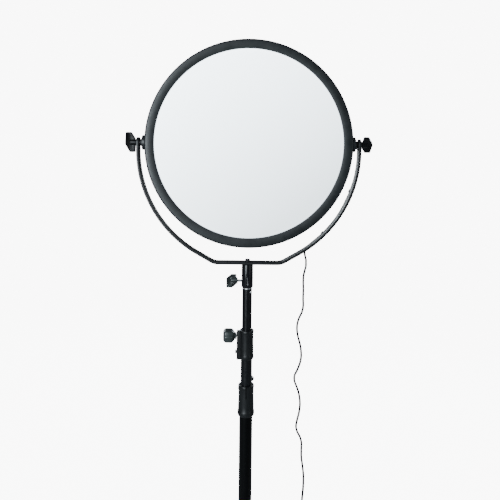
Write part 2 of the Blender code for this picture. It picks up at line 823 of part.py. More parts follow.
def yoke_bolt():
    """Hexagon bolt through the flat into the receiver, drawn upright from the flat's top."""
    head = rod(BOLT_HEAD_RADIUS, GAP, GAP + BOLT_HEAD_HEIGHT, 6, LIP_ROUND)
    washer = rod(BOLT_HEAD_RADIUS + 0.0012, GAP, GAP + 0.0012, 16)
    shank = rod(BOLT_RADIUS, -BAR_THICKNESS - BOLT_ENGAGEMENT, 2 * GAP, 12)
    return united(head, washer, shank)


# Knobs, drawn along +Z away from what they clamp, with z = 0 on its face


def wing_knob(screw_length):
    """A skewed T: one wing sits further out than the other, and leans past the hub."""
    length = WING_KNOB_LENGTH
    base = 2 * GAP
    outline = [
        (WING_REACH, 0.47 * length),
        (WING_REACH, 0.90 * length),
        (0.93 * WING_REACH, 0.955 * length),
        (0.3 * WING_REACH, 0.985 * length),
        (-0.10 * WING_REACH, length),
        (-0.20 * WING_REACH, 0.985 * length),
        (-0.86 * WING_REACH, 0.64 * length),
        (-0.95 * WING_REACH, 0.56 * length),
        (-0.95 * WING_REACH, 0.18 * length),
        (-0.88 * WING_REACH, 0.14 * length),
        (-0.3 * WING_REACH, 0.12 * length),
        (0.35 * WING_REACH, 0.12 * length),
        (0.50 * WING_REACH, 0.18 * length),
        (0.92 * WING_REACH, 0.42 * length),
    ]
    half = WING_THICKNESS / 2
    wings = placed(prism(outline, -half, half), turn=math.pi / 2, axis="X")
    softened(wings, 0.0009, 1)
    hub = rod(WING_HUB_RADIUS, base, 0.62 * length, 12, LIP_ROUND)
    return united(wings, hub, rod(SCREW_RADIUS, -screw_length, 2 * base))


def lobed_knob(screw_length):
    """A round grip with soft lobes on a neck, a washer and its screw."""
    low = LOBED_NECK_LENGTH + WASHER_THICKNESS
    outline = fluted_outline(LOBED_RADIUS, LOBE_COUNT, LOBE_DEPTH, 4)
    grip = prism(outline, low, low + LOBED_LENGTH)
    rims = [e for e in grip.edges if abs(e.verts[0].co.z - e.verts[1].co.z) < MERGE]
    bmesh.ops.bevel(grip, geom=rims, offset=0.0022, segments=1, profile=0.5, affect="EDGES")
    neck = rod(LOBED_NECK_RADIUS, WASHER_THICKNESS / 2, low + LIP_ROUND, 16)
    washer = rod(LOBED_NECK_RADIUS + LIP_ROUND, GAP, WASHER_THICKNESS, 16)
    screw = rod(SCREW_RADIUS, -screw_length, WASHER_THICKNESS)
    return united(grip, neck, washer, screw)


# Stand


def stand_stud():
    """The steel stud on the top riser: spigot with a waist, shoulder and plug."""
    shoulder_low = TOP_RISER_HEIGHT + GAP
    bore = TOP_RISER_RADIUS - TUBE_WALL - GAP
    waist = STUD_RADIUS - 0.0015
    profile = [
        (0, TOP_RISER_HEIGHT - STUD_PLUG),
        (bore, TOP_RISER_HEIGHT - STUD_PLUG),
        (bore, shoulder_low),
        (TOP_RISER_RADIUS, shoulder_low),
        (TOP_RISER_RADIUS, STUD_SHOULDER_HEIGHT),
        (STUD_RADIUS, STUD_SHOULDER_HEIGHT),
        (STUD_RADIUS, RECEIVER_SCREW_HEIGHT - 0.008),
        (waist, RECEIVER_SCREW_HEIGHT - 0.005),
        (waist, RECEIVER_SCREW_HEIGHT + 0.005),
        (STUD_RADIUS, RECEIVER_SCREW_HEIGHT + 0.008),
        (STUD_RADIUS, STUD_TOP - 0.0015),
        (STUD_RADIUS - 0.0015, STUD_TOP),
        (0, STUD_TOP),
    ]
    return cut(turned(profile, TUBE_SEGMENTS), stud_pin_shape(GAP))


def stud_pin_shape(clearance):
    """The rivet through the riser's wall into the stud, with its round head outside."""
    shank = rod(0.0015 + clearance, TOP_RISER_RADIUS - 0.005 - clearance, TOP_RISER_RADIUS + GAP, 8)
    if not clearance:
        head = rod(0.0025, TOP_RISER_RADIUS + GAP / 2, TOP_RISER_RADIUS + 0.0013, 12, 0.0006)
        shank = united(shank, head)
    return placed(across(shank, (0, 0, STUD_PIN_HEIGHT)), turn=STUD_PIN_AZIMUTH)


def riser(radius, top):
    return tube(radius, radius - TUBE_WALL, top - RISER_LENGTH, top)


def riser_bush(radius, outer_radius, bottom):
    """The guide bush at a riser's lower end: a flange that runs in the next tube, and a spigot."""
    spigot = radius - TUBE_WALL - GAP
    wall = 0.002
    profile = [
        (spigot - wall, bottom - BUSH_LENGTH / 2),
        (outer_radius - TUBE_WALL - RUNNING, bottom - BUSH_LENGTH / 2),
        (outer_radius - TUBE_WALL - RUNNING, bottom - GAP),
        (spigot, bottom - GAP),
        (spigot, bottom + BUSH_LENGTH / 2),
        (spigot - wall, bottom + BUSH_LENGTH / 2),
    ]
    return turned(profile, TUBE_SEGMENTS, closed=True)


def radial_lug(face, reach, width, low, high):
    """A clamp lug along +X that ends at its face, with round vertical edges."""
    depth = reach + 2 * COLLAR_WALL
    lug = prism(rounded_outline(depth, width, 0.003, 2), low, high)
    return placed(lug, (face - depth / 2, 0, 0))


def clamp_collar(low, length, lower_radius, upper_radius, screw_height, bolt_height, azimuth):
    """A moulded collar on the lower tube's end that guides and clamps the upper tube."""
    high = low + length
    seat = low + COLLAR_SEAT_SHARE * length
    lower_bore, upper_bore = lower_radius + RUNNING, upper_radius + RUNNING
    body = lower_radius + COLLAR_WALL
    bead = body + COLLAR_BEAD
    profile = [
        (0, low),
        (bead - 0.0012, low),
        (bead, low + 0.0035),
        (bead, low + 0.010),
        (body, low + 0.013),
        (body, high - 0.0075),
        (bead, high - 0.0060),
        (bead, high - 0.0015),
        (bead - 0.0015, high),
        (0, high),
    ]
    collar = turned(profile, TUBE_SEGMENTS)
    lug = radial_lug(lug_face(lower_radius), LUG_REACH, LUG_WIDTH, low + 0.012, high - 0.0035)
    outside = 4 * body
    screw_hole = across(rod(SCREW_RADIUS + GAP, upper_bore - 0.001, outside))
    bolt_hole = across(rod(SCREW_RADIUS + GAP, lower_bore - 0.001, outside))
    bore = rod(lower_bore, low - length, seat + GAP, TUBE_SEGMENTS)
    upper = rod(upper_bore, seat - GAP, high + length, TUBE_SEGMENTS)
    slit = prism(
        [(-outside, -SLIT_WIDTH / 2), (0, -SLIT_WIDTH / 2), (0, SLIT_WIDTH / 2), (-outside, SLIT_WIDTH / 2)],
        seat + 0.004,
        high + length,
    )
    collar = cut(
        united(collar, lug),
        bore,
        upper,
        slit,
        placed(screw_hole, (0, 0, screw_height)),
        placed(bolt_hole, (0, 0, bolt_height)),
    )
    return placed(collar, turn=azimuth)


def lug_face(tube_radius):
    """Distance from the stand's axis to the outer face of a collar's lug."""
    return tube_radius + RUNNING + COLLAR_WALL / 2 + LUG_REACH


def fixing_bolt(face, tip_radius):
    """A short bolt in a collar's lug, drawn along +Z from the lug's face."""
    head = rod(0.0044, GAP, 0.0034, 6, LIP_ROUND)
    return united(head, rod(SCREW_RADIUS, tip_radius - face, 2 * GAP, 12))


def outward(face, height, azimuth):
    """Location and rotation of a piece drawn along +Z that points out from the stand's axis."""
    place = (face * math.cos(azimuth), face * math.sin(azimuth), height)
    return place, (0, math.pi / 2, azimuth)


def eye(radius, width, axis_at=(0, 0)):
    """A round eye about the Y axis, in the X-Z plane."""
    disc = rod(radius, -width / 2, width / 2, 8)
    placed(disc, turn=math.pi / 2, axis="X")
    return placed(disc, (axis_at[0], 0, axis_at[1]))


def eye_plate(base, pivot, radius, width, height=0.0):
    """A plate in the X-Z plane from x = base to a round end about the pivot at x = pivot."""
    outline = [(base, -radius)]
    outline += arc((pivot, 0), radius, -math.pi / 2, math.pi / 2, 6)
    outline.append((base, radius))
    plate = placed(prism(outline, -width / 2, width / 2), turn=math.pi / 2, axis="X")
    return placed(plate, (0, 0, height))


def leg_collar():
    """The sliding collar: sleeve, three pairs of ears with pins, and a boss for the knob."""
    bore = MAIN_TUBE_RADIUS + RUNNING
    half = LEG_COLLAR_LENGTH / 2
    low, high = LEG_PIVOT_HEIGHT - half, LEG_PIVOT_HEIGHT + half
    profile = [
        (bore, low),
        (LEG_COLLAR_RADIUS - LIP_ROUND, low),
        (LEG_COLLAR_RADIUS, low + LIP_ROUND),
        (LEG_COLLAR_RADIUS, high - 0.003),
        (LEG_COLLAR_RADIUS - 0.003, high),
        (bore, high),
    ]
    collar = turned(profile, TUBE_SEGMENTS, closed=True)
    offset = LEG_EYE_WIDTH / 2 + GAP + EAR_THICKNESS / 2
    inner = bore + GAP
    for azimuth in LEG_AZIMUTHS:
        for side in (1, -1):
            ear = eye_plate(inner, LEG_PIVOT_RADIUS, EAR_RADIUS, EAR_THICKNESS, LEG_PIVOT_HEIGHT)
            placed(ear, (0, side * offset, 0))
            collar = united(collar, placed(ear, turn=azimuth))
        pin = eye(PIN_RADIUS, 2 * offset + EAR_THICKNESS + 0.002, (LEG_PIVOT_RADIUS, LEG_PIVOT_HEIGHT))
        collar = united(collar, placed(pin, turn=azimuth))
    boss = across(rod(0.0085, bore + 0.002, LEG_BOSS_FACE, 16, LIP_ROUND), (0, 0, LEG_PIVOT_HEIGHT))
    hole = across(rod(SCREW_RADIUS + GAP, bore - 0.001, 2 * LEG_BOSS_FACE))
    placed(hole, (0, 0, LEG_PIVOT_HEIGHT))
    collar = united(collar, placed(boss, turn=LEG_KNOB_AZIMUTH))
    return cut(collar, placed(hole, turn=LEG_KNOB_AZIMUTH))


def leg():
    """A leg along -Z from its pivot: eye, tube open at its foot, and the brace's lug."""
    top = -LEG_EYE_LENGTH
    inner = LEG_RADIUS - LEG_WALL
    profile = [
        (0, top),
        (LEG_RADIUS - 0.002, top),
        (LEG_RADIUS, top - 0.002),
        (LEG_RADIUS, -LEG_LENGTH),
        (inner, -LEG_LENGTH),
        (inner, top - 0.012),
        (0, top - 0.012),
    ]
    shape = turned(profile, 12)
    plate = eye_plate(top - 0.004, 0, LEG_EYE_RADIUS, LEG_EYE_WIDTH)
    shape = united(shape, placed(plate, turn=-math.pi / 2, axis="Y"))
    lug_low = -BRACE_ON_LEG - BRACE_LUG_LENGTH / 2
    inner_side = -LEG_RADIUS + LEG_WALL / 2
    outline = [
        (inner_side, lug_low),
        (inner_side, lug_low + BRACE_LUG_LENGTH),
        (-BRACE_OFFSET - 0.001, lug_low + 0.75 * BRACE_LUG_LENGTH),
        (-BRACE_OFFSET - 0.004, -BRACE_ON_LEG + 0.002),
        (-BRACE_OFFSET - 0.004, -BRACE_ON_LEG - 0.002),
        (-BRACE_OFFSET - 0.001, lug_low + 0.25 * BRACE_LUG_LENGTH),
    ]
    width = 2 * LEG_RADIUS * 0.6
    lug = placed(prism(outline, -width / 2, width / 2), turn=math.pi / 2, axis="X")
    pin = eye(PIN_RADIUS, 2 * (LEG_RADIUS + BRACE_SIDE_CLEARANCE - GAP), (-BRACE_OFFSET, -BRACE_ON_LEG))
    shape = united(shape, lug, pin)
    return cut(shape, eye(PIN_RADIUS + 2 * GAP, 2 * LEG_EYE_WIDTH))


def leg_place(azimuth):
    place = (
        LEG_PIVOT_RADIUS * math.cos(azimuth),
        LEG_PIVOT_RADIUS * math.sin(azimuth),
        LEG_PIVOT_HEIGHT,
    )
    return place, (0, -LEG_LEAN, azimuth)


def foot():
    """A rubber cap on the leg's end, cut flat where it stands on the floor."""
    end = -LEG_LENGTH - FOOT_BEYOND
    cap = rod(FOOT_RADIUS, end, end + FOOT_LENGTH, 16)
    rims = [e for e in cap.edges if abs(e.verts[0].co.z - e.verts[1].co.z) < MERGE]
    rims = [e for e in rims if min(v.co.xy.length for v in e.verts) > FOOT_RADIUS / 2]
    bmesh.ops.bevel(cap, geom=rims, offset=FOOT_EDGE, segments=2, profile=0.5, affect="EDGES")
    cap = cut(cap, rod(LEG_RADIUS + GAP, -LEG_LENGTH - GAP, 0, 12))
    floor = Matrix.Rotation(LEG_LEAN, 4, "Y") @ Vector((0, 0, -LEG_PIVOT_HEIGHT))
    normal = Matrix.Rotation(LEG_LEAN, 4, "Y") @ Vector((0, 0, -1))
    halves = bmesh.ops.bisect_plane(
        cap,
        geom=cap.verts[:] + cap.edges[:] + cap.faces[:],
        plane_co=floor,
        plane_no=normal,
        clear_outer=True,
    )
    rim = [item for item in halves["geom_cut"] if isinstance(item, bmesh.types.BMEdge)]
    bmesh.ops.contextual_create(cap, geom=rim)
    bmesh.ops.recalc_face_normals(cap, faces=cap.faces)
    return cap


def brace_line():
    """Length and lean from upright of a brace, from its lower pivot to the leg's lug."""
    along_r, along_z = math.sin(LEG_LEAN), -math.cos(LEG_LEAN)
    end_r = LEG_PIVOT_RADIUS + BRACE_ON_LEG * along_r - BRACE_OFFSET * math.cos(LEG_LEAN)
    end_z = LEG_PIVOT_HEIGHT + BRACE_ON_LEG * along_z - BRACE_OFFSET * math.sin(LEG_LEAN)
    run, rise = end_r - BRACE_PIVOT_RADIUS, end_z - BRACE_PIVOT_HEIGHT
    return math.hypot(run, rise), math.atan2(run, rise)


def brace():
    """A channel along +Z whose flanges straddle the leg, with its lower pin and rivet heads."""
    length, _ = brace_line()
    half = BRACE_WIDTH / 2
    inside = LEG_RADIUS + BRACE_SIDE_CLEARANCE
    flanges = []
    for side in (1, -1):
        outline = arc((0, length), half, 0, math.pi, 5) + arc((0, 0), half, math.pi, math.tau, 5)
        flange = placed(prism(outline, 0, BRACE_FLANGE), turn=math.pi / 2, axis="X")
        place = inside + BRACE_FLANGE if side > 0 else -inside
        flanges.append(placed(flange, (0, place, 0)))
        head = eye(0.0045, 0.0016, (0, length))
        flanges.append(placed(head, (0, side * (inside + BRACE_FLANGE + 0.0004), 0)))
    web = prism(
        [(-half, -inside - 0.001), (-half + BRACE_FLANGE, -inside - 0.001),
         (-half + BRACE_FLANGE, inside + 0.001), (-half, inside + 0.001)],
        BRACE_WEB_MARGIN,
        length - BRACE_WEB_MARGIN,
    )
    pin = eye(PIN_RADIUS, 2 * (inside + BRACE_FLANGE) + 0.002)
    return united(flanges[0], web, flanges[1], flanges[2], flanges[3], pin)


def brace_place(azimuth):
    _, lean = brace_line()
    place = (
        BRACE_PIVOT_RADIUS * math.cos(azimuth),
        BRACE_PIVOT_RADIUS * math.sin(azimuth),
        BRACE_PIVOT_HEIGHT,
    )
    return place, (0, lean, azimuth)


def brace_collar():
    """The fixed collar at the tube's foot, with a bored lug for each brace."""
    bore = MAIN_TUBE_RADIUS + GAP
    half = BRACE_COLLAR_LENGTH / 2
    low, high = BRACE_PIVOT_HEIGHT - half, BRACE_PIVOT_HEIGHT + half
    profile = [(bore, low), (BRACE_COLLAR_RADIUS, low), (BRACE_COLLAR_RADIUS, high), (bore, high)]
    collar = turned(profile, TUBE_SEGMENTS, closed=True)
    for azimuth in LEG_AZIMUTHS:
        lug = eye_plate(
            bore + GAP, BRACE_PIVOT_RADIUS, BRACE_LUG_RADIUS, BRACE_LUG_WIDTH, BRACE_PIVOT_HEIGHT
        )
        hole = eye(PIN_RADIUS + 2 * GAP, 2 * BRACE_LUG_WIDTH, (BRACE_PIVOT_RADIUS, BRACE_PIVOT_HEIGHT))
        collar = united(collar, placed(lug, turn=azimuth))
        collar = cut(collar, placed(hole, turn=azimuth))
    return collar


def tube_end_cap():
    """A plug in the main tube's foot."""
    spigot = MAIN_TUBE_RADIUS - TUBE_WALL - GAP
    profile = [
        (0, MAIN_TUBE_FOOT - 0.006),
        (MAIN_TUBE_RADIUS - 0.002, MAIN_TUBE_FOOT - 0.006),
        (MAIN_TUBE_RADIUS, MAIN_TUBE_FOOT - 0.004),
        (MAIN_TUBE_RADIUS, MAIN_TUBE_FOOT - GAP),
        (spigot, MAIN_TUBE_FOOT - GAP),
        (spigot, MAIN_TUBE_FOOT + BUSH_LENGTH / 2),
        (0, MAIN_TUBE_FOOT + BUSH_LENGTH / 2),
    ]
    return turned(profile, TUBE_SEGMENTS)


# Lead


def smooth_path(route, spacing):
    """Evenly spaced points on a smooth curve through the route's points, straight at both ends."""
    points = np.array(route, float)
    padded = np.vstack([2 * points[0] - points[1], points, 2 * points[-1] - points[-2]])
    fine = []
    for a, b, c, d in zip(padded, padded[1:], padded[2:], padded[3:]):
        for t in np.linspace(0, 1, 16, endpoint=False):
            fine.append(
                0.5
                * (
                    2 * b
                    + (c - a) * t
                    + (2 * a - 5 * b + 4 * c - d) * t**2
                    + (3 * b - a - 3 * c + d) * t**3
                )
            )
    fine = np.array(fine + [points[-1]])
    steps = np.linalg.norm(np.diff(fine, axis=0), axis=1)
    walked = np.concatenate([[0], np.cumsum(steps)])
    count = max(2, round(walked[-1] / spacing))
    places = np.linspace(0, walked[-1], count + 1)
    path = np.column_stack([np.interp(places, walked, fine[:, axis]) for axis in range(3)])
    for end, second, towards in ((0, 1, points[1]), (-1, -2, points[-2])):
        along = towards - path[end]
        stride = np.linalg.norm(path[second] - path[end])
        path[second] = path[end] + stride * along / np.linalg.norm(along)
    return path


def path_length(points):
    return float(np.linalg.norm(np.diff(points, axis=0), axis=1).sum())


def coil_path():
    """The coil from its entry tail to its exit tail: in on the floor, out a layer higher."""
    outer = COIL_MEAN_RADIUS + COIL_PITCH * COIL_TURNS / 4
    centre = np.array(COIL_CENTRE)
    half = COIL_TURNS / 2
    loops = []
    for index in range(COIL_TURNS * COIL_POINTS + 1):
        turn = index / COIL_POINTS
        radius = outer - COIL_PITCH * min(turn, COIL_TURNS - turn)
        angle = COIL_START + math.tau * turn
        rise = min(max((turn - half) * 2 + 0.5, 0), 1)
        height = COIL_LIFT + COIL_PITCH * rise * rise * (3 - 2 * rise)
        place = centre + radius * np.array([math.cos(angle), math.sin(angle)])
        loops.append([place[0], place[1], height])
    tangent = np.array([-math.sin(COIL_START), math.cos(COIL_START), 0])
    lead_in = [loops[0] - tangent * COIL_TAIL * share for share in (1, 0.66, 0.33)]
    top = np.array(loops[-1])
    fall = np.array([0, 0, PLUG_AXIS_HEIGHT - top[2]])
    shares = ((0.3, 0), (0.6, 0.5), (0.85, 1), (1, 1))
    lead_out = [top + tangent * COIL_TAIL * out + fall * down for out, down in shares]
    return np.array([*lead_in, *loops, *lead_out])


def least_gap(points, diameter):
    """The smallest gap between stretches of one tube that aren't neighbours along it."""
    steps = np.linalg.norm(np.diff(points, axis=0), axis=1)
    walked = np.concatenate([[0], np.cumsum(steps)])
    apart = np.linalg.norm(points[:, None] - points[None], axis=2)
    far_along = np.abs(walked[:, None] - walked[None]) > 4 * diameter
    return float(apart[far_along].min() - diameter)


def add_cord(name, points, resolution, material, parent, to_parent):
    """A tube of the lead's diameter along the points, as a curve with filled caps."""
    curve = bpy.data.curves.new(name, "CURVE")
    curve.dimensions = "3D"
    curve.bevel_depth = CORD_DIAMETER / 2
    curve.bevel_resolution = resolution
    curve.use_fill_caps = True
    spline = curve.splines.new("POLY")
    spline.points.add(len(points) - 1)
    for point, place in zip(spline.points, points):
        point.co = (*to_parent(place), 1)
    curve.materials.append(material)
    cord = bpy.data.objects.new(name, curve)
    cord.parent = parent
    bpy.context.scene.collection.objects.link(cord)
    return cord


def front_view(place):
    """A place about the stand's axis, written in the front view of the tilt axis."""
    return (place[0], place[2] - TILT_HEIGHT, -place[1])


def unchanged(place):
    return tuple(place)


def cord_clip(depth_to_base):
    """A saddle round the lead, drawn with the lead along Z and its base at y = -depth."""
    hole = CORD_DIAMETER / 2 + GAP
    wall = 0.0014
    outline = [(-hole - wall, -depth_to_base), (hole + wall, -depth_to_base)]
    outline += arc((0, 0), hole + wall, 0, math.pi, 8)
    block = prism(outline, -CLIP_LENGTH / 2, CLIP_LENGTH / 2)
    return cut(block, rod(hole, -CLIP_LENGTH, CLIP_LENGTH, 12))


def plug():
    """A moulded two-blade plug, drawn along +Z from its cord end, flat side down."""
    body = [
        (-0.0060, 0),
        (0.0060, 0),
        (0.0100, 0.010),
        (0.0125, 0.022),
        (0.0125, 0.028),
        (-0.0125, 0.028),
        (-0.0125, 0.022),
        (-0.0100, 0.010),
    ]
    shape = placed(prism(body, -0.0070, 0.0070), turn=math.pi / 2, axis="X")
    softened(shape, 0.0022, 1)
    placed(shape, (0, 0, RELIEF_LENGTH - 2 * GAP))
    relief = turned(
        [(0, 0), (CORD_DIAMETER / 2 + 0.0008, 0), (0.0052, RELIEF_LENGTH), (0, RELIEF_LENGTH)], 12
    )
    tip = RELIEF_LENGTH + 0.028
    parts = [relief]
    for side in (1, -1):
        blade = prism(rounded_outline(0.0015, 0.0064, 0.0004, 1), tip - 0.002, tip + 0.016)
        parts.append(placed(blade, (side * 0.0064, 0, 0)))
    return placed(united(shape, *parts), turn=math.pi / 2)


def coil_tie():
    """A strap round the coil's turns, drawn with the coil's radius along X and Z up."""
    outer = COIL_MEAN_RADIUS + COIL_PITCH * COIL_TURNS / 4
    inner = COIL_MEAN_RADIUS - COIL_PITCH * COIL_TURNS / 4
    slack = CORD_DIAMETER / 2 + GAP
    width = outer - inner + 2 * slack
    height = COIL_PITCH + 2 * slack
    middle = ((outer + inner) / 2, COIL_LIFT + COIL_PITCH / 2)
    full = rounded_outline(width + 2 * TIE_THICKNESS, height + 2 * TIE_THICKNESS, 0.0022, 3)
    hollow = rounded_outline(width, height, 0.0016, 3)
    strap = cut(
        prism(full, -TIE_WIDTH / 2, TIE_WIDTH / 2), prism(hollow, -TIE_WIDTH, TIE_WIDTH)
    )
    placed(strap, turn=math.pi / 2, axis="X")
    return placed(strap, (middle[0], 0, middle[1]))


# Assembly


def add_head(mount, paint):
    """The panel, its layers, its control box and the lead's connector."""
    levels = head_levels()
    inside = HEAD_RADIUS - RING_WALL - GAP
    core = inside - STRIP_THICKNESS - CHIP_HEIGHT - GAP
    add("head_ring", head_ring(levels), paint["head"], mount)
    add("diffuser", diffuser(levels), paint["opal"], mount)
    guide = rod(core, levels["guide"] - GUIDE_THICKNESS, levels["guide"], HEAD_SEGMENTS)
    add("light_guide", guide, paint["acrylic"], mount)
    sheet_low = levels["reflector"] - REFLECTOR_THICKNESS
    add("reflector_sheet", rod(core, sheet_low, levels["reflector"], HEAD_SEGMENTS), paint["white"], mount)
    add("led_strip", led_strip(levels), paint["strip"], mount)
    tray_low = levels["tray"] - TRAY_THICKNESS
    add("inner_tray", rod(inside, tray_low, levels["tray"], HEAD_SEGMENTS), paint["metal"], mount)
    add("back_cover", back_cover(levels), paint["cover"], mount)
    add("control_box", control_box(levels), paint["plastic"], mount)
    back = box_face(levels) - BOX_DEPTH
    window = prism(rounded_outline(WINDOW_WIDTH, WINDOW_HEIGHT, 0.002, 2), 0, BOX_WALL)
    add("display_window", window, paint["window"], mount, (0, WINDOW_RISE, back))
    board = prism(
        rounded_outline(BOX_WIDTH - 2 * BOARD_MARGIN, BOX_HEIGHT - 2 * BOARD_MARGIN, 0.002, 1),
        BOARD_LEVEL - BOARD_THICKNESS,
        BOARD_LEVEL,
    )
    add("driver_board", board, paint["board"], mount)
    for name, side in (("dial_brightness", -1), ("dial_colour", 1)):
        axle = frame(name + "_axis", mount, (side * DIAL_SPACING / 2, DIAL_RISE, back), (math.pi, 0, 0))
        add(name, dial(), paint["knob"], axle)
    pin = frame("power_switch_axis", mount, (0, ROCKER_RISE, back + BOX_WALL / 2))
    add("power_switch", rocker_switch(), paint["knob"], pin, rotation=(ROCKER_REST, 0, 0))
    sideways = (0, math.pi / 2, 0)
    add("mains_inlet", mains_inlet(), paint["plastic"], mount, (INLET_FACE, 0, INLET_LEVEL), sideways)
    connector = cord_connector()
    add("cord_connector", connector, paint["cord"], mount, (INLET_FACE, 0, INLET_LEVEL), sideways)
    points = smooth_path(HEAD_RUN, CORD_SPACING * CORD_DIAMETER)
    add_cord("cord_head_run", points, 2, paint["cord"], mount, front_view)
    base = levels["back"] - HEAD_CLIP_DEPTH - GAP
    clip = placed(cord_clip(base), turn=-math.pi / 2, axis="X")
    place = (HEAD_CLIP_REACH, HEAD_CLIP_RISE, HEAD_CLIP_DEPTH)
    add("head_cord_clip", clip, paint["clip"], mount, place, (0, 0, math.pi / 2))
    return path_length(points)


def add_yoke(mount, paint):
    """The bar, the receiver, the tilt bushes and the clipped stretch of the lead."""
    add("yoke_bar", yoke_bar(), paint["yoke"], mount)
    upright = (-math.pi / 2, 0, 0)
    underside = TILT_HEIGHT - YOKE_BOTTOM_DROP - BAR_THICKNESS / 2
    ground = (0, -TILT_HEIGHT, 0)
    socket = receiver(underside - GAP, RECEIVER_LENGTH)
    add("yoke_receiver", socket, paint["yoke"], mount, ground, upright)
    bolt_at = (0, BAR_THICKNESS / 2 - YOKE_BOTTOM_DROP, 0)
    add("yoke_bolt", yoke_bolt(), paint["steel"], mount, bolt_at, upright)
    arm_face = YOKE_ARM_REACH - BAR_THICKNESS / 2
    for name, turn in (("tilt_bush_right", math.pi / 2), ("tilt_bush_left", -math.pi / 2)):
        bush = tube(BUSH_RADIUS, SCREW_RADIUS + SCREW_CLEARANCE, BOSS_FACE + GAP, arm_face - GAP, 16)
        add(name, bush, paint["clip"], mount, rotation=(0, turn, 0))
    points = smooth_path(YOKE_RUN, CORD_SPACING * CORD_DIAMETER)
    add_cord("cord_yoke_run", points, 2, paint["cord"], mount, front_view)
    for name, index in YOKE_CLIPS.items():
        place = Vector(front_view(YOKE_RUN[index]))
        along = Vector(front_view(YOKE_RUN[index - 1])) - Vector(front_view(YOKE_RUN[index + 1]))
        clip = placed(cord_clip(-place.z - BAR_WIDTH / 2 - GAP), turn=-math.pi / 2, axis="X")
        add(name, clip, paint["clip"], mount, place, (0, 0, math.atan2(-along.x, along.y)))
    return path_length(points)


def add_knobs(paint, tilt, stand):
    """Clamp knobs, each on an empty that lies on its screw's axis."""
    arm_face = YOKE_ARM_REACH + BAR_THICKNESS / 2 + GAP
    tilt_screw = arm_face - HEAD_RADIUS + RING_WALL / 2 - GAP
    for name, side, turn in (("tilt_knob_right", 1, WING_TURN_RIGHT), ("tilt_knob_left", -1, WING_TURN_LEFT)):
        axle = frame(name + "_axis", tilt, (side * arm_face, 0, 0), (0, side * math.pi / 2, 0))
        add(name, wing_knob(tilt_screw), paint["knob"], axle, rotation=(0, 0, turn))
    knobs = (
        ("receiver_knob", wing_knob, RECEIVER_RADIUS, RECEIVER_STANDOFF, STUD_RADIUS - 0.0015,
         RECEIVER_SCREW_HEIGHT, math.pi, WING_TURN_RECEIVER),
        ("upper_collar_knob", lobed_knob, lug_face(MIDDLE_RISER_RADIUS), 0, TOP_RISER_RADIUS,
         UPPER_COLLAR_HEIGHT + UPPER_COLLAR_LENGTH - UPPER_KNOB_DROP, math.pi, 0),
        ("middle_collar_knob", wing_knob, lug_face(MAIN_TUBE_RADIUS), 0, MIDDLE_RISER_RADIUS,
         MIDDLE_COLLAR_HEIGHT + MIDDLE_COLLAR_LENGTH - MIDDLE_KNOB_DROP, MIDDLE_AZIMUTH,
         WING_TURN_MIDDLE),
        ("leg_collar_knob", lobed_knob, LEG_BOSS_FACE, 0, MAIN_TUBE_RADIUS,
         LEG_PIVOT_HEIGHT, LEG_KNOB_AZIMUTH, 0),
    )
    for name, make, face, standoff, grips, height, azimuth, turn in knobs:
        place, rotation = outward(face + standoff + GAP, height, azimuth)
        axle = frame(name + "_axis", stand, place, rotation)
        screw = face + standoff - grips - RUNNING
        add(name, make(screw), paint["knob"], axle, rotation=(0, 0, turn))


def add_stand(stand, paint):
    """Stud, risers, collars and the main tube."""
    middle_top = UPPER_COLLAR_HEIGHT + COLLAR_SEAT_SHARE * UPPER_COLLAR_LENGTH
    main_top = MIDDLE_COLLAR_HEIGHT + COLLAR_SEAT_SHARE * MIDDLE_COLLAR_LENGTH
    add("stand_stud", stand_stud(), paint["steel"], stand)
    add("stud_rivet", stud_pin_shape(0), paint["steel"], stand)
    hole = placed(
        across(rod(0.0015 + GAP, 0.001, 2 * TOP_RISER_RADIUS, 8), (0, 0, STUD_PIN_HEIGHT)),
        turn=STUD_PIN_AZIMUTH,
    )
    top = cut(riser(TOP_RISER_RADIUS, TOP_RISER_HEIGHT), hole)
    add("top_riser", top, paint["tube"], stand)
    bush = riser_bush(TOP_RISER_RADIUS, MIDDLE_RISER_RADIUS, TOP_RISER_HEIGHT - RISER_LENGTH)
    add("top_riser_bush", bush, paint["clip"], stand)
    middle_bottom = middle_top - RISER_LENGTH
    middle = riser(MIDDLE_RISER_RADIUS, middle_top)
    bush = riser_bush(MIDDLE_RISER_RADIUS, MAIN_TUBE_RADIUS, middle_bottom)
    add("middle_riser_bush", bush, paint["clip"], stand)
    main = tube(MAIN_TUBE_RADIUS, MAIN_TUBE_RADIUS - TUBE_WALL, MAIN_TUBE_FOOT, main_top)
    upper_bolt = UPPER_COLLAR_HEIGHT + UPPER_BOLT_RISE
    middle_bolt = MIDDLE_COLLAR_HEIGHT + UPPER_BOLT_RISE
    collars = (
        ("upper_collar", UPPER_COLLAR_HEIGHT, UPPER_COLLAR_LENGTH, MIDDLE_RISER_RADIUS,
         TOP_RISER_RADIUS, UPPER_KNOB_DROP, upper_bolt, math.pi),
        ("middle_collar", MIDDLE_COLLAR_HEIGHT, MIDDLE_COLLAR_LENGTH, MAIN_TUBE_RADIUS,
         MIDDLE_RISER_RADIUS, MIDDLE_KNOB_DROP, middle_bolt, MIDDLE_AZIMUTH),
    )
    for name, low, length, lower, upper, drop, bolt, azimuth in collars:
        shape = clamp_collar(low, length, lower, upper, low + length - drop, bolt, azimuth)
        add(name, shape, paint["collar"], stand)
        place, rotation = outward(lug_face(lower), bolt, azimuth)
        bolt_shape = fixing_bolt(lug_face(lower), lower + GAP)
        add(name + "_bolt", bolt_shape, paint["steel"], stand, place, rotation)
    add("middle_riser", middle, paint["tube"], stand)
    add("main_tube", main, paint["tube"], stand)
    add("tube_end_cap", tube_end_cap(), paint["clip"], stand)


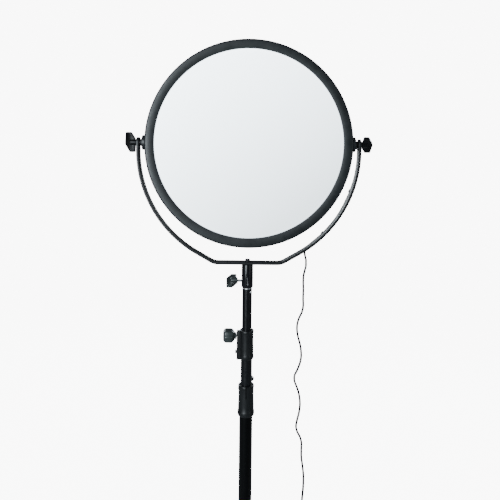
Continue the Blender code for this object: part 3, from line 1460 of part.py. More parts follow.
def add_tripod(stand, paint):
    """Leg collar, legs, feet, braces and their collar."""
    add("leg_collar", leg_collar(), paint["collar"], stand)
    add("brace_collar", brace_collar(), paint["collar"], stand)
    first = {}
    for number, azimuth in enumerate(LEG_AZIMUTHS, 1):
        hinge = frame(f"leg_{number}_axis", stand, *leg_place(azimuth))
        link = frame(f"brace_{number}_axis", stand, *brace_place(azimuth))
        pieces = (("leg", leg, "tube", hinge), ("foot", foot, "rubber", hinge), ("brace", brace, "tube", link))
        for name, make, material, parent in pieces:
            if number == 1:
                first[name] = add(f"{name}_1", make(), paint[material], parent).data
            else:
                add_copy(f"{name}_{number}", first[name], parent)


def add_lead(stand, paint):
    """The hanging stretch, the coil, its tie and the plug."""
    drop = smooth_path(DROP_RUN, DROP_SPACING * CORD_DIAMETER)
    add_cord("cord_drop", drop, 2, paint["cord"], stand, unchanged)
    coil = coil_path()
    add_cord("cord_coil", coil, 1, paint["cord"], stand, unchanged)
    print("least gap in the coil, mm:", round(1000 * least_gap(coil, CORD_DIAMETER), 2))
    centre = (*COIL_CENTRE, 0)
    tie_turn = COIL_START + math.pi
    add("cord_tie", coil_tie(), paint["tie"], stand, centre, (0, 0, tie_turn))
    heading = COIL_START + math.pi / 2
    end = coil[-1] + GAP * np.array([math.cos(heading), math.sin(heading), 0])
    add("mains_plug", plug(), paint["cord"], stand, tuple(end), (0, math.pi / 2, heading))
    return path_length(drop) + path_length(coil)


def centre_on_feet(stand):
    """Moves the stand's axis so that the origin is midway between the feet."""
    bpy.context.view_layer.update()
    corners = []
    for number in range(1, len(LEG_AZIMUTHS) + 1):
        cap = bpy.data.objects[f"foot_{number}"]
        corners += [cap.matrix_world @ vert.co for vert in cap.data.vertices]
    low = min(corner.y for corner in corners)
    high = max(corner.y for corner in corners)
    stand.location.y = -(low + high) / 2
    print("stand axis at y, m:", round(stand.location.y, 5))


def main():
    for item in list(bpy.data.objects):
        bpy.data.objects.remove(item)
    paint = {
        "head": finish("black_frame", (0.022, 0.028, 0.032), 0.42, 0.1),
        "yoke": finish("black_bar", (0.018, 0.020, 0.023), 0.45, 0.1),
        "cover": finish("black_cover", (0.020, 0.023, 0.026), 0.5, 0.1),
        "opal": finish("opal", (0.83, 0.87, 0.89), 0.45),
        "acrylic": finish("acrylic", (0.85, 0.90, 0.92), 0.08),
        "white": finish("white_sheet", (0.86, 0.86, 0.86), 0.6),
        "strip": finish("strip", (0.80, 0.78, 0.60), 0.5),
        "metal": finish("bare_aluminium", (0.60, 0.61, 0.62), 0.35, 1.0),
        "plastic": finish("black_plastic", (0.018, 0.019, 0.020), 0.55),
        "window": finish("smoked_window", (0.010, 0.012, 0.014), 0.12),
        "board": finish("board", (0.02, 0.12, 0.05), 0.5),
        "knob": finish("knob_plastic", (0.020, 0.023, 0.023), 0.5),
        "steel": finish("plated_steel", (0.66, 0.67, 0.68), 0.28, 1.0),
        "tube": finish("black_tube", (0.014, 0.015, 0.017), 0.32, 0.2),
        "collar": finish("black_collar", (0.016, 0.018, 0.019), 0.48),
        "clip": finish("clip_plastic", (0.015, 0.016, 0.017), 0.55),
        "rubber": finish("rubber", (0.012, 0.012, 0.012), 0.8),
        "cord": finish("cord_jacket", (0.010, 0.010, 0.011), 0.5),
        "tie": finish("tie_strap", (0.013, 0.013, 0.014), 0.85),
    }
    stand = frame("stand_axis")
    pan = frame("pan_axis", stand, (0, 0, TILT_HEIGHT), (math.pi / 2, 0, 0))
    tilt = frame("tilt_axis", pan)
    lead = add_head(tilt, paint) + add_yoke(pan, paint)
    add_knobs(paint, pan, stand)
    add_stand(stand, paint)
    add_tripod(stand, paint)
    lead += add_lead(stand, paint)
    print("length of the lead, m:", round(lead, 3))
    centre_on_feet(stand)


main()
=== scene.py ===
"""Looks of a round LED soft light in its yoke, on a telescopic tripod stand.

Metres, +Z up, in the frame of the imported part. Pieces of the head and the yoke
are drawn in front view about the tilt axis: x to the right, y up, z towards the
viewer. Pieces of the stand are drawn about the stand's own upright axis.
"""

import logging
import math
from collections.abc import Callable, Sequence
from dataclasses import dataclass
from enum import Enum

import bmesh
import bpy
import numpy as np
from mathutils import Matrix, Vector


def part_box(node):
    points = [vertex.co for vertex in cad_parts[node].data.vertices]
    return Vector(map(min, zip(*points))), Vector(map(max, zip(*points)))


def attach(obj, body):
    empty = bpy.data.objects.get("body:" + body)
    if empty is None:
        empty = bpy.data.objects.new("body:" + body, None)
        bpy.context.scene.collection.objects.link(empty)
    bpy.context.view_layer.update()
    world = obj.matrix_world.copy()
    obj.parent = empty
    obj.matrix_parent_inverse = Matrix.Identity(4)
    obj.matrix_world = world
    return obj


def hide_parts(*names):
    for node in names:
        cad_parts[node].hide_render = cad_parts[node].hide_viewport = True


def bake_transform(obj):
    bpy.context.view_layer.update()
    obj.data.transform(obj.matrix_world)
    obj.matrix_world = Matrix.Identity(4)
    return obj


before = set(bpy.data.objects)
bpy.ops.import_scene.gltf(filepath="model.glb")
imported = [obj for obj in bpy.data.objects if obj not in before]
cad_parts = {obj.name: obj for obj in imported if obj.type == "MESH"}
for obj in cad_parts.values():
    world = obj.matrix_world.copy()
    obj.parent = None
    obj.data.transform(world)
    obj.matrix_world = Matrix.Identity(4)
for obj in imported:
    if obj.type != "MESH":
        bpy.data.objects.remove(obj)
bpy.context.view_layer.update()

Point = tuple[float, float]
Place = tuple[float, float, float]
Piece = bpy.types.Object
Tree = bpy.types.NodeTree
Socket = bpy.types.NodeSocket
Test = Callable[[Vector, Vector], bool]

LOG = logging.getLogger("soft_light")

GAP = 0.0003
WELD = 0.000002
TILT_HEIGHT = 1.48
ARM_REACH = 0.2509
ARM_THICKNESS = 0.006
BOSS_FACE = 0.2414
STUD_TOP = 1.1925
CLAMP_HEIGHT = 1.1686
RECEIVER_RADIUS = 0.0131
SCREW_HOLE = 0.0033
STAND_Y = (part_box("main_tube")[0].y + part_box("main_tube")[1].y) / 2


# Hand tools


def put_down() -> None:
    """Leave edit mode and let go of everything."""
    if bpy.context.mode != "OBJECT":
        bpy.ops.object.mode_set(mode="OBJECT")
    bpy.ops.object.select_all(action="DESELECT")


def take(piece: Piece) -> None:
    """Select one piece alone and make it active.

    Args:
        piece: the piece.
    """
    put_down()
    piece.select_set(True)
    bpy.context.view_layer.objects.active = piece


def started(name: str) -> Piece:
    """Name the primitive that was just added and put its place in its mesh.

    Args:
        name: its name.

    Returns:
        The new piece.
    """
    piece = bpy.context.view_layer.objects.active
    piece.name = piece.data.name = name
    bpy.ops.object.transform_apply(location=True, rotation=True, scale=True)
    return piece


def linked(name: str, data: bpy.types.ID) -> Piece:
    """A new object in the scene that holds the data.

    Args:
        name: its name.
        data: what it holds.

    Returns:
        The object.
    """
    piece = bpy.data.objects.new(name, data)
    bpy.context.scene.collection.objects.link(piece)
    return piece


def open_mesh(piece: Piece) -> None:
    """Enter edit mode with the whole mesh selected.

    Args:
        piece: the piece to edit.
    """
    take(piece)
    bpy.ops.object.mode_set(mode="EDIT")
    bpy.ops.mesh.select_mode(type="VERT")
    bpy.ops.mesh.select_all(action="SELECT")


def close_mesh() -> None:
    """Weld, turn the faces outwards and leave edit mode."""
    bpy.ops.mesh.select_all(action="SELECT")
    bpy.ops.mesh.remove_doubles(threshold=WELD)
    bpy.ops.mesh.normals_make_consistent(inside=False)
    bpy.ops.object.mode_set(mode="OBJECT")


def pick(piece: Piece, kind: str, wanted: Test) -> None:
    """Select, in edit mode, the edges or the faces that pass a test.

    Args:
        piece: the piece in edit mode.
        kind: EDGE or FACE.
        wanted: the test, on an edge's two ends or on a face's middle and normal.
    """
    bpy.ops.mesh.select_mode(type=kind)
    bpy.ops.mesh.select_all(action="DESELECT")
    shape = bmesh.from_edit_mesh(piece.data)
    shape.normal_update()
    if kind == "EDGE":
        tested = [(edge, edge.verts[0].co, edge.verts[1].co) for edge in shape.edges]
    else:
        tested = [(face, face.calc_center_median(), face.normal) for face in shape.faces]
    for item, first, second in tested:
        item.select_set(wanted(first, second))
    shape.select_flush_mode()
    bmesh.update_edit_mesh(piece.data)


def rolled(piece: Piece, wanted: Test, offset: float, segments: int, clamp: bool = False) -> Piece:
    """Round the edges whose two ends pass a test.

    Args:
        piece: the piece.
        wanted: the test.
        offset: how far the rounding reaches from each edge.
        segments: its steps.
        clamp: stop where two roundings would meet.

    Returns:
        The same piece.
    """
    open_mesh(piece)
    pick(piece, "EDGE", wanted)
    bpy.ops.mesh.bevel(offset=offset, segments=segments, affect="EDGES", clamp_overlap=clamp)
    close_mesh()
    return piece


def lathe(name: str, profile: Sequence[Point], sides: int, closed: bool = False) -> Piece:
    """Turn a profile about +Z, ring by ring.

    Args:
        name: the piece's name.
        profile: points of (radius, height). Open ends are capped flat.
        sides: faces round the axis.
        closed: the profile comes back to its start, as a tube's does.

    Returns:
        The turned piece, at the origin.
    """
    put_down()
    radius, height = profile[0]
    fill = "NOTHING" if closed else "NGON"
    bpy.ops.mesh.primitive_circle_add(vertices=sides, radius=radius, fill_type=fill, location=(0, 0, height))
    piece = started(name)
    open_mesh(piece)
    for next_radius, next_height in [*profile[1:], *profile[: int(closed)]]:
        bpy.ops.mesh.extrude_region()
        share = next_radius / radius
        bpy.ops.transform.resize(value=(share, share, 1), center_override=(0, 0, height))
        bpy.ops.transform.translate(value=(0, 0, next_height - height))
        radius, height = next_radius, next_height
    close_mesh()
    return piece


def plate(name: str, outline: Sequence[Point], low: float, high: float) -> Piece:
    """Cut a plate to an outline.

    Args:
        name: the piece's name.
        outline: corners (x, y) in order.
        low: its lower face's height.
        high: its upper face's height.

    Returns:
        The plate, at the origin.
    """
    put_down()
    bpy.ops.mesh.primitive_circle_add(vertices=len(outline), radius=1, fill_type="NGON")
    piece = started(name)
    for corner, (x, y) in zip(piece.data.vertices, outline):
        corner.co = (x, y, low)
    open_mesh(piece)
    bpy.ops.mesh.extrude_region_move(TRANSFORM_OT_translate={"value": (0, 0, high - low)})
    close_mesh()
    return piece


def arc(centre: Point, radius: float, start: float, end: float, steps: int) -> list[Point]:
    """Points on a circle from one angle to another, both ends included."""
    angles = np.linspace(start, end, steps + 1)
    return [(centre[0] + radius * math.cos(a), centre[1] + radius * math.sin(a)) for a in angles]


def wavy(radius: float, depth: float, waves: int, steps: int) -> list[Point]:
    """A round outline with that many hollows of a depth, each drawn in steps.

    Args:
        radius: its widest radius.
        depth: how deep its hollows are.
        waves: their number.
        steps: the points of each.

    Returns:
        The outline's corners.
    """
    angles = [index * math.tau / (waves * steps) for index in range(waves * steps)]
    reach = [radius - depth * (0.5 - 0.5 * math.cos(waves * angle)) for angle in angles]
    return [(r * math.cos(angle), r * math.sin(angle)) for r, angle in zip(reach, angles)]


def rounded(width: float, height: float, radius: float, steps: int = 6) -> list[Point]:
    """A rectangle about the origin with round corners, each drawn in steps.

    Args:
        width: its width.
        height: its height.
        radius: its corners' radius.
        steps: the steps of each corner.

    Returns:
        The outline's corners.
    """
    outline = []
    for quarter, (side_x, side_y) in enumerate(((1, 1), (-1, 1), (-1, -1), (1, -1))):
        start = quarter * math.pi / 2
        centre = (side_x * (width / 2 - radius), side_y * (height / 2 - radius))
        outline += arc(centre, radius, start, start + math.pi / 2, steps)
    return outline


def block(name: str, size: Point, corner: float, low: float, high: float, steps: int = 6) -> Piece:
    """A plate with round corners about +Z."""
    return plate(name, rounded(*size, corner, steps), low, high)


def grown(size: Point, by: float) -> Point:
    """A width and a height with that much added on every side."""
    return size[0] + 2 * by, size[1] + 2 * by


def rod(name: str, radius: float, low: float, high: float, sides: int = 32, edge: float = 0.0) -> Piece:
    """A round bar along +Z, with both rims eased by edge.

    Args:
        name: its name.
        radius: its radius.
        low: its lower end's height.
        high: its upper end's height.
        sides: faces round it.
        edge: the size of its rims' bevels.

    Returns:
        The bar.
    """
    plain = [(radius, low), (radius, high)]
    rims = [(radius - edge, low), (radius, low + edge), (radius, high - edge), (radius - edge, high)]
    return lathe(name, rims if edge else plain, sides)


def worked(piece: Piece, kind: str, **settings: object) -> Piece:
    """Give a piece a modifier with these settings and apply it.

    Args:
        piece: the piece.
        kind: the modifier's kind.
        settings: its settings by name.

    Returns:
        The same piece.
    """
    modifier = piece.modifiers.new(kind.lower(), kind)
    for name, value in settings.items():
        setattr(modifier, name, value)
    take(piece)
    bpy.ops.object.modifier_apply(modifier=modifier.name)
    return piece


def eased(piece: Piece, width: float, segments: int = 2, angle: float = 40.0) -> Piece:
    """Round every edge sharper than the angle, given in degrees."""
    limit = {"limit_method": "ANGLE", "angle_limit": math.radians(angle)}
    return worked(piece, "BEVEL", width=width, segments=segments, **limit)


def combined(piece: Piece, operation: str, others: Sequence[Piece]) -> Piece:
    """Cut others from a piece or weld them to it, and use them up."""
    for other in others:
        worked(piece, "BOOLEAN", operation=operation, solver="EXACT", object=other)
        bpy.data.objects.remove(other)
    return piece


def carved(piece: Piece, *cutters: Piece) -> Piece:
    """Cut the cutters from a piece."""
    return combined(piece, "DIFFERENCE", cutters)


def joined(piece: Piece, *others: Piece) -> Piece:
    """Make several shapes one piece, each keeping its own finish.

    Args:
        piece: the piece that takes in the others.
        others: the shapes to add.

    Returns:
        The first piece.
    """
    take(piece)
    for other in others:
        other.select_set(True)
    bpy.ops.object.join()
    return piece


def moved(piece: Piece, matrix: Matrix) -> Piece:
    """Put a piece in another place, written into its mesh.

    Args:
        piece: the piece.
        matrix: where it goes.

    Returns:
        The same piece.
    """
    piece.matrix_world = matrix
    take(piece)
    bpy.ops.object.transform_apply(location=True, rotation=True, scale=True)
    return piece


def copied(piece: Piece, name: str) -> Piece:
    """A copy with its own mesh.

    Args:
        piece: the pattern.
        name: the copy's name.

    Returns:
        The copy.
    """
    other = linked(name, piece.data.copy())
    other.data.name = name
    return other


def shift(x: float = 0.0, y: float = 0.0, z: float = 0.0) -> Matrix:
    """A move without a turn."""
    return Matrix.Translation((x, y, z))


def turn(degrees: float, axis: str = "Z") -> Matrix:
    """A turn about one axis through the origin."""
    return Matrix.Rotation(math.radians(degrees), 4, axis)


STAND = shift(y=STAND_Y)
FRONT_VIEW = shift(0, STAND_Y, TILT_HEIGHT) @ turn(90, "X")
OUTWARD = turn(90, "Y")
LEVEL = turn(90, "X")
INLET = shift(0.0750, 0, -0.0340) @ OUTWARD


def bored(radius: float, low: float, high: float, place: Matrix, sides: int = 24) -> Piece:
    """A cutter for a round hole along a place's +X."""
    return moved(rod("hole", radius, low, high, sides), place @ OUTWARD)


# Finishes


def plug(tree: Tree, node: bpy.types.Node, sockets: dict[str | int, object]) -> None:
    """Set each input of a node, or link it to the output given for it."""
    for name, value in sockets.items():
        if isinstance(value, Socket):
            tree.links.new(value, node.inputs[name])
        else:
            node.inputs[name].default_value = value


def wired(tree: Tree, kind: str, output: str, sockets: dict[str | int, object], **settings: object) -> Socket:
    """Add a shader node, set it and connect it.

    Args:
        tree: the material's nodes.
        kind: the node's kind, without its prefix.
        output: the output that is wanted.
        sockets: for each input, its value or the output that feeds it.
        settings: the node's own settings.

    Returns:
        The wanted output.
    """
    node = tree.nodes.new(f"ShaderNode{kind}")
    for name, value in settings.items():
        setattr(node, name, value)
    plug(tree, node, sockets)
    return node.outputs[output]


def ranged(tree: Tree, source: Socket, given: Point, wanted: Point) -> Socket:
    """Stretch a value from the given range to the wanted one."""
    ends = zip(("From Min", "From Max", "To Min", "To Max"), (*given, *wanted))
    return wired(tree, "MapRange", "Result", {"Value": source, **dict(ends)})


def tinted(tree: Tree, source: Socket, *stops: tuple[float, Sequence[float]]) -> Socket:
    """Turn a value into a colour between two stops, each a position and a colour.

    Args:
        tree: the material's nodes.
        source: the value.
        stops: the two stops.

    Returns:
        The colour.
    """
    colour = wired(tree, "ValToRGB", "Color", {"Fac": source})
    for element, (position, tint) in zip(colour.node.color_ramp.elements, stops):
        element.position, element.color = position, (*tint, 1)
    return colour


class Grain(Enum):
    """What a surface's fine relief looks like."""

    PEEL = "the soft peel of stoved paint"
    SPARK = "the matt spark of a mould"
    DRAWN = "fine lines along the piece"
    SMOOTH = "polished, with faint haze"
    WOVEN = "crossed threads"


@dataclass(frozen=True)
class Finish:
    """A surface: its colours, its gloss, its relief and its wear, and a glow whose strength can carry painted
    light falling off across it.
    """

    name: str
    slot: str
    colour: Place
    roughness: float
    grain: Grain = Grain.PEEL
    metallic: float = 0.0
    specular: float = 0.5
    coat: float = 0.0
    coat_roughness: float = 0.25
    mottle: float = 0.18
    wear: float = 0.25
    relief: float = 0.12
    relief_depth: float = 0.0004
    glow: float = 0.0
    glow_colour: Place = (1.0, 1.0, 1.0)
    # painted light: how much the glow is raised at the upper left and lowered at the lower right
    painted_light_slope: float = 0.0
    sheen: float = 0.0
    cloud: Point = (11.0, 4.0)
    smear: Point = (70.0, 5.0)
    grain_scale: float = 900.0

    def material(self) -> bpy.types.Material:
        """The finish's material, made once."""
        return bpy.data.materials.get(self.name) or self.made()

    def made(self) -> bpy.types.Material:
        """Build the material.

        Returns:
            A material whose colour, gloss and relief vary over the piece.
        """
        material = bpy.data.materials.new(self.name)
        material.use_nodes = True
        tree = material.node_tree
        shader = tree.nodes["Principled BSDF"]
        place = wired(tree, "TexCoord", "Object", {})
        cloud, smear = (
            wired(tree, "TexNoise", "Fac", {"Vector": place, "Scale": scale, "Detail": detail})
            for scale, detail in (self.cloud, self.smear)
        )
        handled = (self.roughness * 0.86, min(1.0, self.roughness * 1.14))
        plug(tree, shader, {
            "Metallic": self.metallic,
            "Specular IOR Level": self.specular,
            "Coat Weight": self.coat,
            "Coat Roughness": self.coat_roughness,
            "Sheen Weight": self.sheen,
            "Emission Color": (*self.glow_colour, 1),
            "Emission Strength": self.glow,
            "Base Color": self.colouring(tree, cloud, smear),
            "Roughness": ranged(tree, smear, (0.3, 0.7), handled),
            "Normal": self.surface(tree, place),
        })
        # Painted light: the glow's strength runs from bright at the upper left to dim at the lower right.
        if self.painted_light_slope:
            plug(tree, shader, {"Emission Strength": self.painted_light_falloff(tree, place)})
        return material

    def painted_light_falloff(self, tree: Tree, place: Socket) -> Socket:
        """Painted light: a glow made brighter at the upper left and dimmer at the lower right of the head,
        standing in for the studio light from the upper left.

        Args:
            tree: the material's nodes.
            place: the object's coordinates.

        Returns:
            The glow's strength.
        """
        across = wired(tree, "VectorMath", "Value", {0: place, 1: (0.75, 0, -1.0)}, operation="DOT_PRODUCT")
        ends = (self.glow * (1 + self.painted_light_slope), self.glow * (1 - self.painted_light_slope))
        return ranged(tree, across, (-TILT_HEIGHT - 0.24, -TILT_HEIGHT + 0.24), ends)

    def colouring(self, tree: Tree, cloud: Socket, smear: Socket) -> Socket:
        """Cloudy shifts of the colour, with lighter rubbed spots.

        Args:
            tree: the material's nodes.
            cloud: a broad noise.
            smear: a finer noise.

        Returns:
            The colour.
        """
        dark, light = ([min(1, c * (1 + side * self.mottle)) for c in self.colour] for side in (-1, 1))
        rubbed = [min(1, c * 1.5 + 0.004) for c in self.colour]
        tones = tinted(tree, cloud, (0.35, dark), (0.65, light))
        rubs = tinted(tree, smear, (0.60, (0, 0, 0)), (0.74, [self.wear] * 3))
        sockets = {"Factor": rubs, "A": tones, "B": (*rubbed, 1)}
        return wired(tree, "Mix", "Result", sockets, data_type="RGBA")

    def surface(self, tree: Tree, place: Socket) -> Socket:
        """Fine relief of the finish's grain.

        Args:
            tree: the material's nodes.
            place: the object's coordinates.

        Returns:
            The normal.
        """
        stretch = (1.0, 1.0, 0.02 if self.grain is Grain.DRAWN else 1.0)
        kind, output, sockets = {
            Grain.WOVEN: ("TexWave", "Fac", {"Distortion": 1.5}),
            Grain.SPARK: ("TexVoronoi", "Distance", {}),
        }.get(self.grain, ("TexNoise", "Fac", {"Detail": 3.0}))
        vector = wired(tree, "Mapping", "Vector", {"Vector": place, "Scale": stretch})
        height = wired(tree, kind, output, {**sockets, "Scale": self.grain_scale, "Vector": vector})
        bump = {"Strength": self.relief, "Distance": self.relief_depth, "Height": height}
        return wired(tree, "Bump", "Normal", bump)


FRAME_PAINT = Finish("frame_paint", "black_frame", (0.012, 0.015, 0.017), 0.42, specular=0.48)
BAR_PAINT = Finish("bar_paint", "black_bar", (0.009, 0.0105, 0.012), 0.40, specular=0.40)
COVER_PAINT = Finish("cover_paint", "black_cover", (0.020, 0.023, 0.026), 0.48)
# The opal sheet glows; its glow carries painted light, brighter at the upper left and dimmer at the lower
# right.
OPAL = Finish(
    "opal_sheet", "opal", (0.84, 0.88, 0.91), 0.42, Grain.SMOOTH, mottle=0.012, wear=0.0, relief=0.02,
    glow=3.6, glow_colour=(0.84, 0.94, 1.0), painted_light_slope=0.45,
)
ACRYLIC = Finish(
    "clear_acrylic", "acrylic", (0.85, 0.90, 0.92), 0.10, Grain.SMOOTH, mottle=0.02, wear=0.0, relief=0.01,
)
WHITE_SHEET = Finish(
    "reflector_white", "white_sheet", (0.86, 0.86, 0.86), 0.60, Grain.SMOOTH, mottle=0.03, wear=0.0,
)
STRIP = Finish("chip_strip", "strip", (0.80, 0.78, 0.60), 0.50, Grain.SMOOTH, mottle=0.05, wear=0.0)
ALUMINIUM = Finish("mill_aluminium", "bare_aluminium", (0.60, 0.61, 0.62), 0.35, Grain.DRAWN, metallic=1.0)
BOX_PLASTIC = Finish("moulded_shell", "black_plastic", (0.016, 0.017, 0.018), 0.55, Grain.SPARK, relief=0.25)
WINDOW = Finish(
    "smoked_acrylic", "smoked_window", (0.006, 0.008, 0.010), 0.10, Grain.SMOOTH,
    relief=0.01, coat=0.6, wear=0.05,
)
BOARD = Finish("circuit_board", "board", (0.02, 0.12, 0.05), 0.50, Grain.SMOOTH)
# A lightened copy of the black knob plastic: painted light on the knobs that catch the lamps.
PAINTED_LIGHT_KNOB_MOULDING = Finish("knob_moulding_painted_light", "knob_plastic", (0.046, 0.056, 0.056), 0.34, Grain.SPARK)
# A darker copy of the same knob plastic: painted shade on the tilt knobs.
PAINTED_SHADE_KNOB_MOULDING = Finish(
    "knob_moulding_painted_shade", "knob_plastic", (0.004, 0.0045, 0.005), 0.40, Grain.SPARK, specular=0.25,
)
BOLT_BLACK = Finish(
    "blackened_steel", "plated_steel", (0.045, 0.047, 0.050), 0.38, Grain.SMOOTH, metallic=0.8,
)
STEEL = Finish(
    "zinc_plate", "plated_steel", (0.66, 0.67, 0.68), 0.36, Grain.SMOOTH, metallic=1.0, mottle=0.08,
)
TUBE_PAINT = Finish("tube_lacquer", "black_tube", (0.004, 0.0045, 0.006), 0.30, Grain.SMOOTH, specular=0.45)
# A darker copy of the tube lacquer: painted shade on the main tube.
PAINTED_SHADE_TUBE_LACQUER = Finish(
    "tube_lacquer_painted_shade", "black_tube", (0.0012, 0.0013, 0.0016), 0.30, Grain.SMOOTH, specular=0.18,
)
COLLAR_PLASTIC = Finish(
    "moulded_collar", "black_collar", (0.007, 0.008, 0.009), 0.40, Grain.SPARK, specular=0.45, relief=0.10,
)
CLIP_PLASTIC = Finish("moulded_clip", "clip_plastic", (0.013, 0.014, 0.015), 0.50, Grain.SPARK)
RUBBER = Finish("foot_rubber", "rubber", (0.012, 0.012, 0.012), 0.80, Grain.SPARK, relief=0.4)
JACKET = Finish("lead_jacket", "cord_jacket", (0.008, 0.008, 0.009), 0.42, Grain.SMOOTH, relief=0.10)
STRAP = Finish("hook_and_loop", "tie_strap", (0.013, 0.013, 0.014), 0.88, Grain.WOVEN, relief=0.8, sheen=0.3)
PRINT = Finish("printed_marks", "knob_plastic", (0.75, 0.76, 0.76), 0.55, Grain.SMOOTH, mottle=0.05, wear=0.1)

CARRIED_OVER = {
    "light_guide": ACRYLIC,
    "reflector_sheet": WHITE_SHEET,
    "led_strip": STRIP,
    "inner_tray": ALUMINIUM,
    "driver_board": BOARD,
    "top_riser_bush": CLIP_PLASTIC,
    "middle_riser_bush": CLIP_PLASTIC,
}


def dressed(piece: Piece, finish: Finish, smooth: float = 32.0) -> Piece:
    """Give a new shape its finish and smooth shading up to an angle in degrees.

    Args:
        piece: the shape.
        finish: its finish.
        smooth: the angle.

    Returns:
        The same piece.
    """
    piece.data.materials.clear()
    piece.data.materials.append(finish.material())
    take(piece)
    bpy.ops.object.shade_smooth_by_angle(angle=math.radians(smooth))
    return piece


def placed(piece: Piece, place: Matrix, body: str, node: str) -> Piece:
    """Put a dressed piece in its place on its body, instead of a CAD node, and report it.

    Args:
        piece: the dressed piece.
        place: where it belongs.
        body: the CAD body that it moves with.
        node: the CAD node that it stands for.

    Returns:
        The same piece.
    """
    moved(piece, place)
    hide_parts(node)
    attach(piece, body)
    LOG.info("%s rides on %s, %d faces", piece.name, body, len(piece.data.polygons))
    return piece


# Studio


@dataclass
class Studio:
    """The floor, the light and the camera at the photograph's angle."""

    camera_back: float = 1.13
    camera_height: float = 1.4349
    camera_roll: float = math.radians(-0.64)
    lens: float = 35.8
    framing: Point = (0.0028, -0.1731)
    backdrop_glow: float = 9.0
    paper_colour: Place = (0.30, 0.31, 0.32)
    paper_roughness: float = 0.9
    surround: float = 0.05
    surround_colour: Place = (0.93, 0.96, 1.0)
    floor_half: float = 7.0
    wall_height: float = 9.0
    wall_bend: float = 2.5
    lamp_colour: Place = (0.86, 0.95, 1.0)
    lamps: tuple[tuple[str, Place, Place, Point, float], ...] = (
        ("key", (-1.30, -2.6, 1.75), (-0.1, 0, 1.45), (0.80, 2.0), 88),
        ("fill", (2.4, -1.9, 1.5), (0, 0, 1.2), (0.9, 2.0), 8),
        ("back_left", (-1.6, 2.6, 2.2), (0, 0, 1.2), (1.4, 1.8), 70),
        ("back_right", (1.9, 2.2, 1.7), (0, 0, 1.2), (1.0, 1.8), 60),
    )

    def build(self) -> None:
        """Make the camera, the backdrop, the surround and the lamps."""
        self.camera()
        self.backdrop()
        self.world()
        for lamp in self.lamps:
            self.lamp(*lamp)
        LOG.info("studio ready")

    def camera(self) -> None:
        """The camera, turned by the photograph's slight roll, with its framing in the shift."""
        lens = bpy.data.cameras.new("camera")
        lens.lens = self.lens
        lens.shift_x, lens.shift_y = self.framing
        camera = linked("camera", lens)
        camera.location = (0, STAND_Y - self.camera_back, self.camera_height)
        camera.rotation_euler = (math.pi / 2, self.camera_roll, 0)
        bpy.context.scene.camera = camera

    def backdrop(self) -> None:
        """A pale floor that curves up into a wall behind the light."""
        put_down()
        bpy.ops.mesh.primitive_plane_add(size=2 * self.floor_half, location=(0, 0, 0))
        floor = started("studio_floor")
        far = self.floor_half - 0.1
        open_mesh(floor)
        pick(floor, "EDGE", lambda a, b: min(a.y, b.y) > far)
        bpy.ops.mesh.extrude_region_move(TRANSFORM_OT_translate={"value": (0, 0, self.wall_height)})
        close_mesh()
        rolled(floor, lambda a, b: min(a.y, b.y) > far and max(a.z, b.z) < 0.01, self.wall_bend, 16)
        take(floor)
        bpy.ops.object.shade_smooth()
        floor.data.materials.append(self.paper())

    def paper(self) -> bpy.types.Material:
        """White backdrop paper, which glows to the camera alone.

        Returns:
            The paper's material.
        """
        material = bpy.data.materials.new("backdrop_paper")
        material.use_nodes = True
        tree = material.node_tree
        shader = tree.nodes["Principled BSDF"]
        plug(tree, shader, {"Base Color": (*self.paper_colour, 1), "Roughness": self.paper_roughness})
        seen = wired(tree, "LightPath", "Is Camera Ray", {})
        strength = wired(tree, "Math", "Value", {0: seen, 1: self.backdrop_glow}, operation="MULTIPLY")
        glow = wired(tree, "Emission", "Emission", {"Color": (1, 1, 1, 1), "Strength": strength})
        both = wired(tree, "AddShader", "Shader", {0: shader.outputs["BSDF"], 1: glow})
        plug(tree, tree.nodes["Material Output"], {"Surface": both})
        return material

    def world(self) -> None:
        """A soft pale surround, as bright as the paper to the camera alone."""
        world = bpy.data.worlds.new("surround")
        world.use_nodes = True
        tree = world.node_tree
        seen = wired(tree, "LightPath", "Is Camera Ray", {})
        strength = ranged(tree, seen, (0, 1), (self.surround, self.backdrop_glow))
        plug(tree, tree.nodes["Background"], {"Color": (*self.surround_colour, 1), "Strength": strength})
        bpy.context.scene.world = world

    def lamp(self, name: str, place: Place, aim: Place, size: Point, power: float) -> None:
        """A soft box that faces a point.

        Args:
            name: the lamp's name.
            place: where it stands.
            aim: the point that it faces.
            size: its width and height.
            power: its power in watts.
        """
        light = bpy.data.lights.new(name, "AREA")
        light.shape = "RECTANGLE"
        light.size, light.size_y = size
        light.energy = power
        light.color = self.lamp_colour
        lamp = linked(name, light)
        lamp.location = place
        lamp.rotation_euler = (Vector(aim) - Vector(place)).to_track_quat("-Z", "Y").to_euler()


# Lead


def strides(points: np.ndarray) -> np.ndarray:
    """The distance from each point to the next."""
    return np.linalg.norm(np.diff(points, axis=0), axis=1)


@dataclass(frozen=True)
class Stretch:
    """A length of the lead between two bodies: where it starts and ends to bend, and how it hangs."""

    name: str
    bodies: tuple[str, str]
    bends: tuple[Place, Place]
    node: str
    far_end: str = "object"
    stiffness: str = "medium"
    lay: str = "hanging"


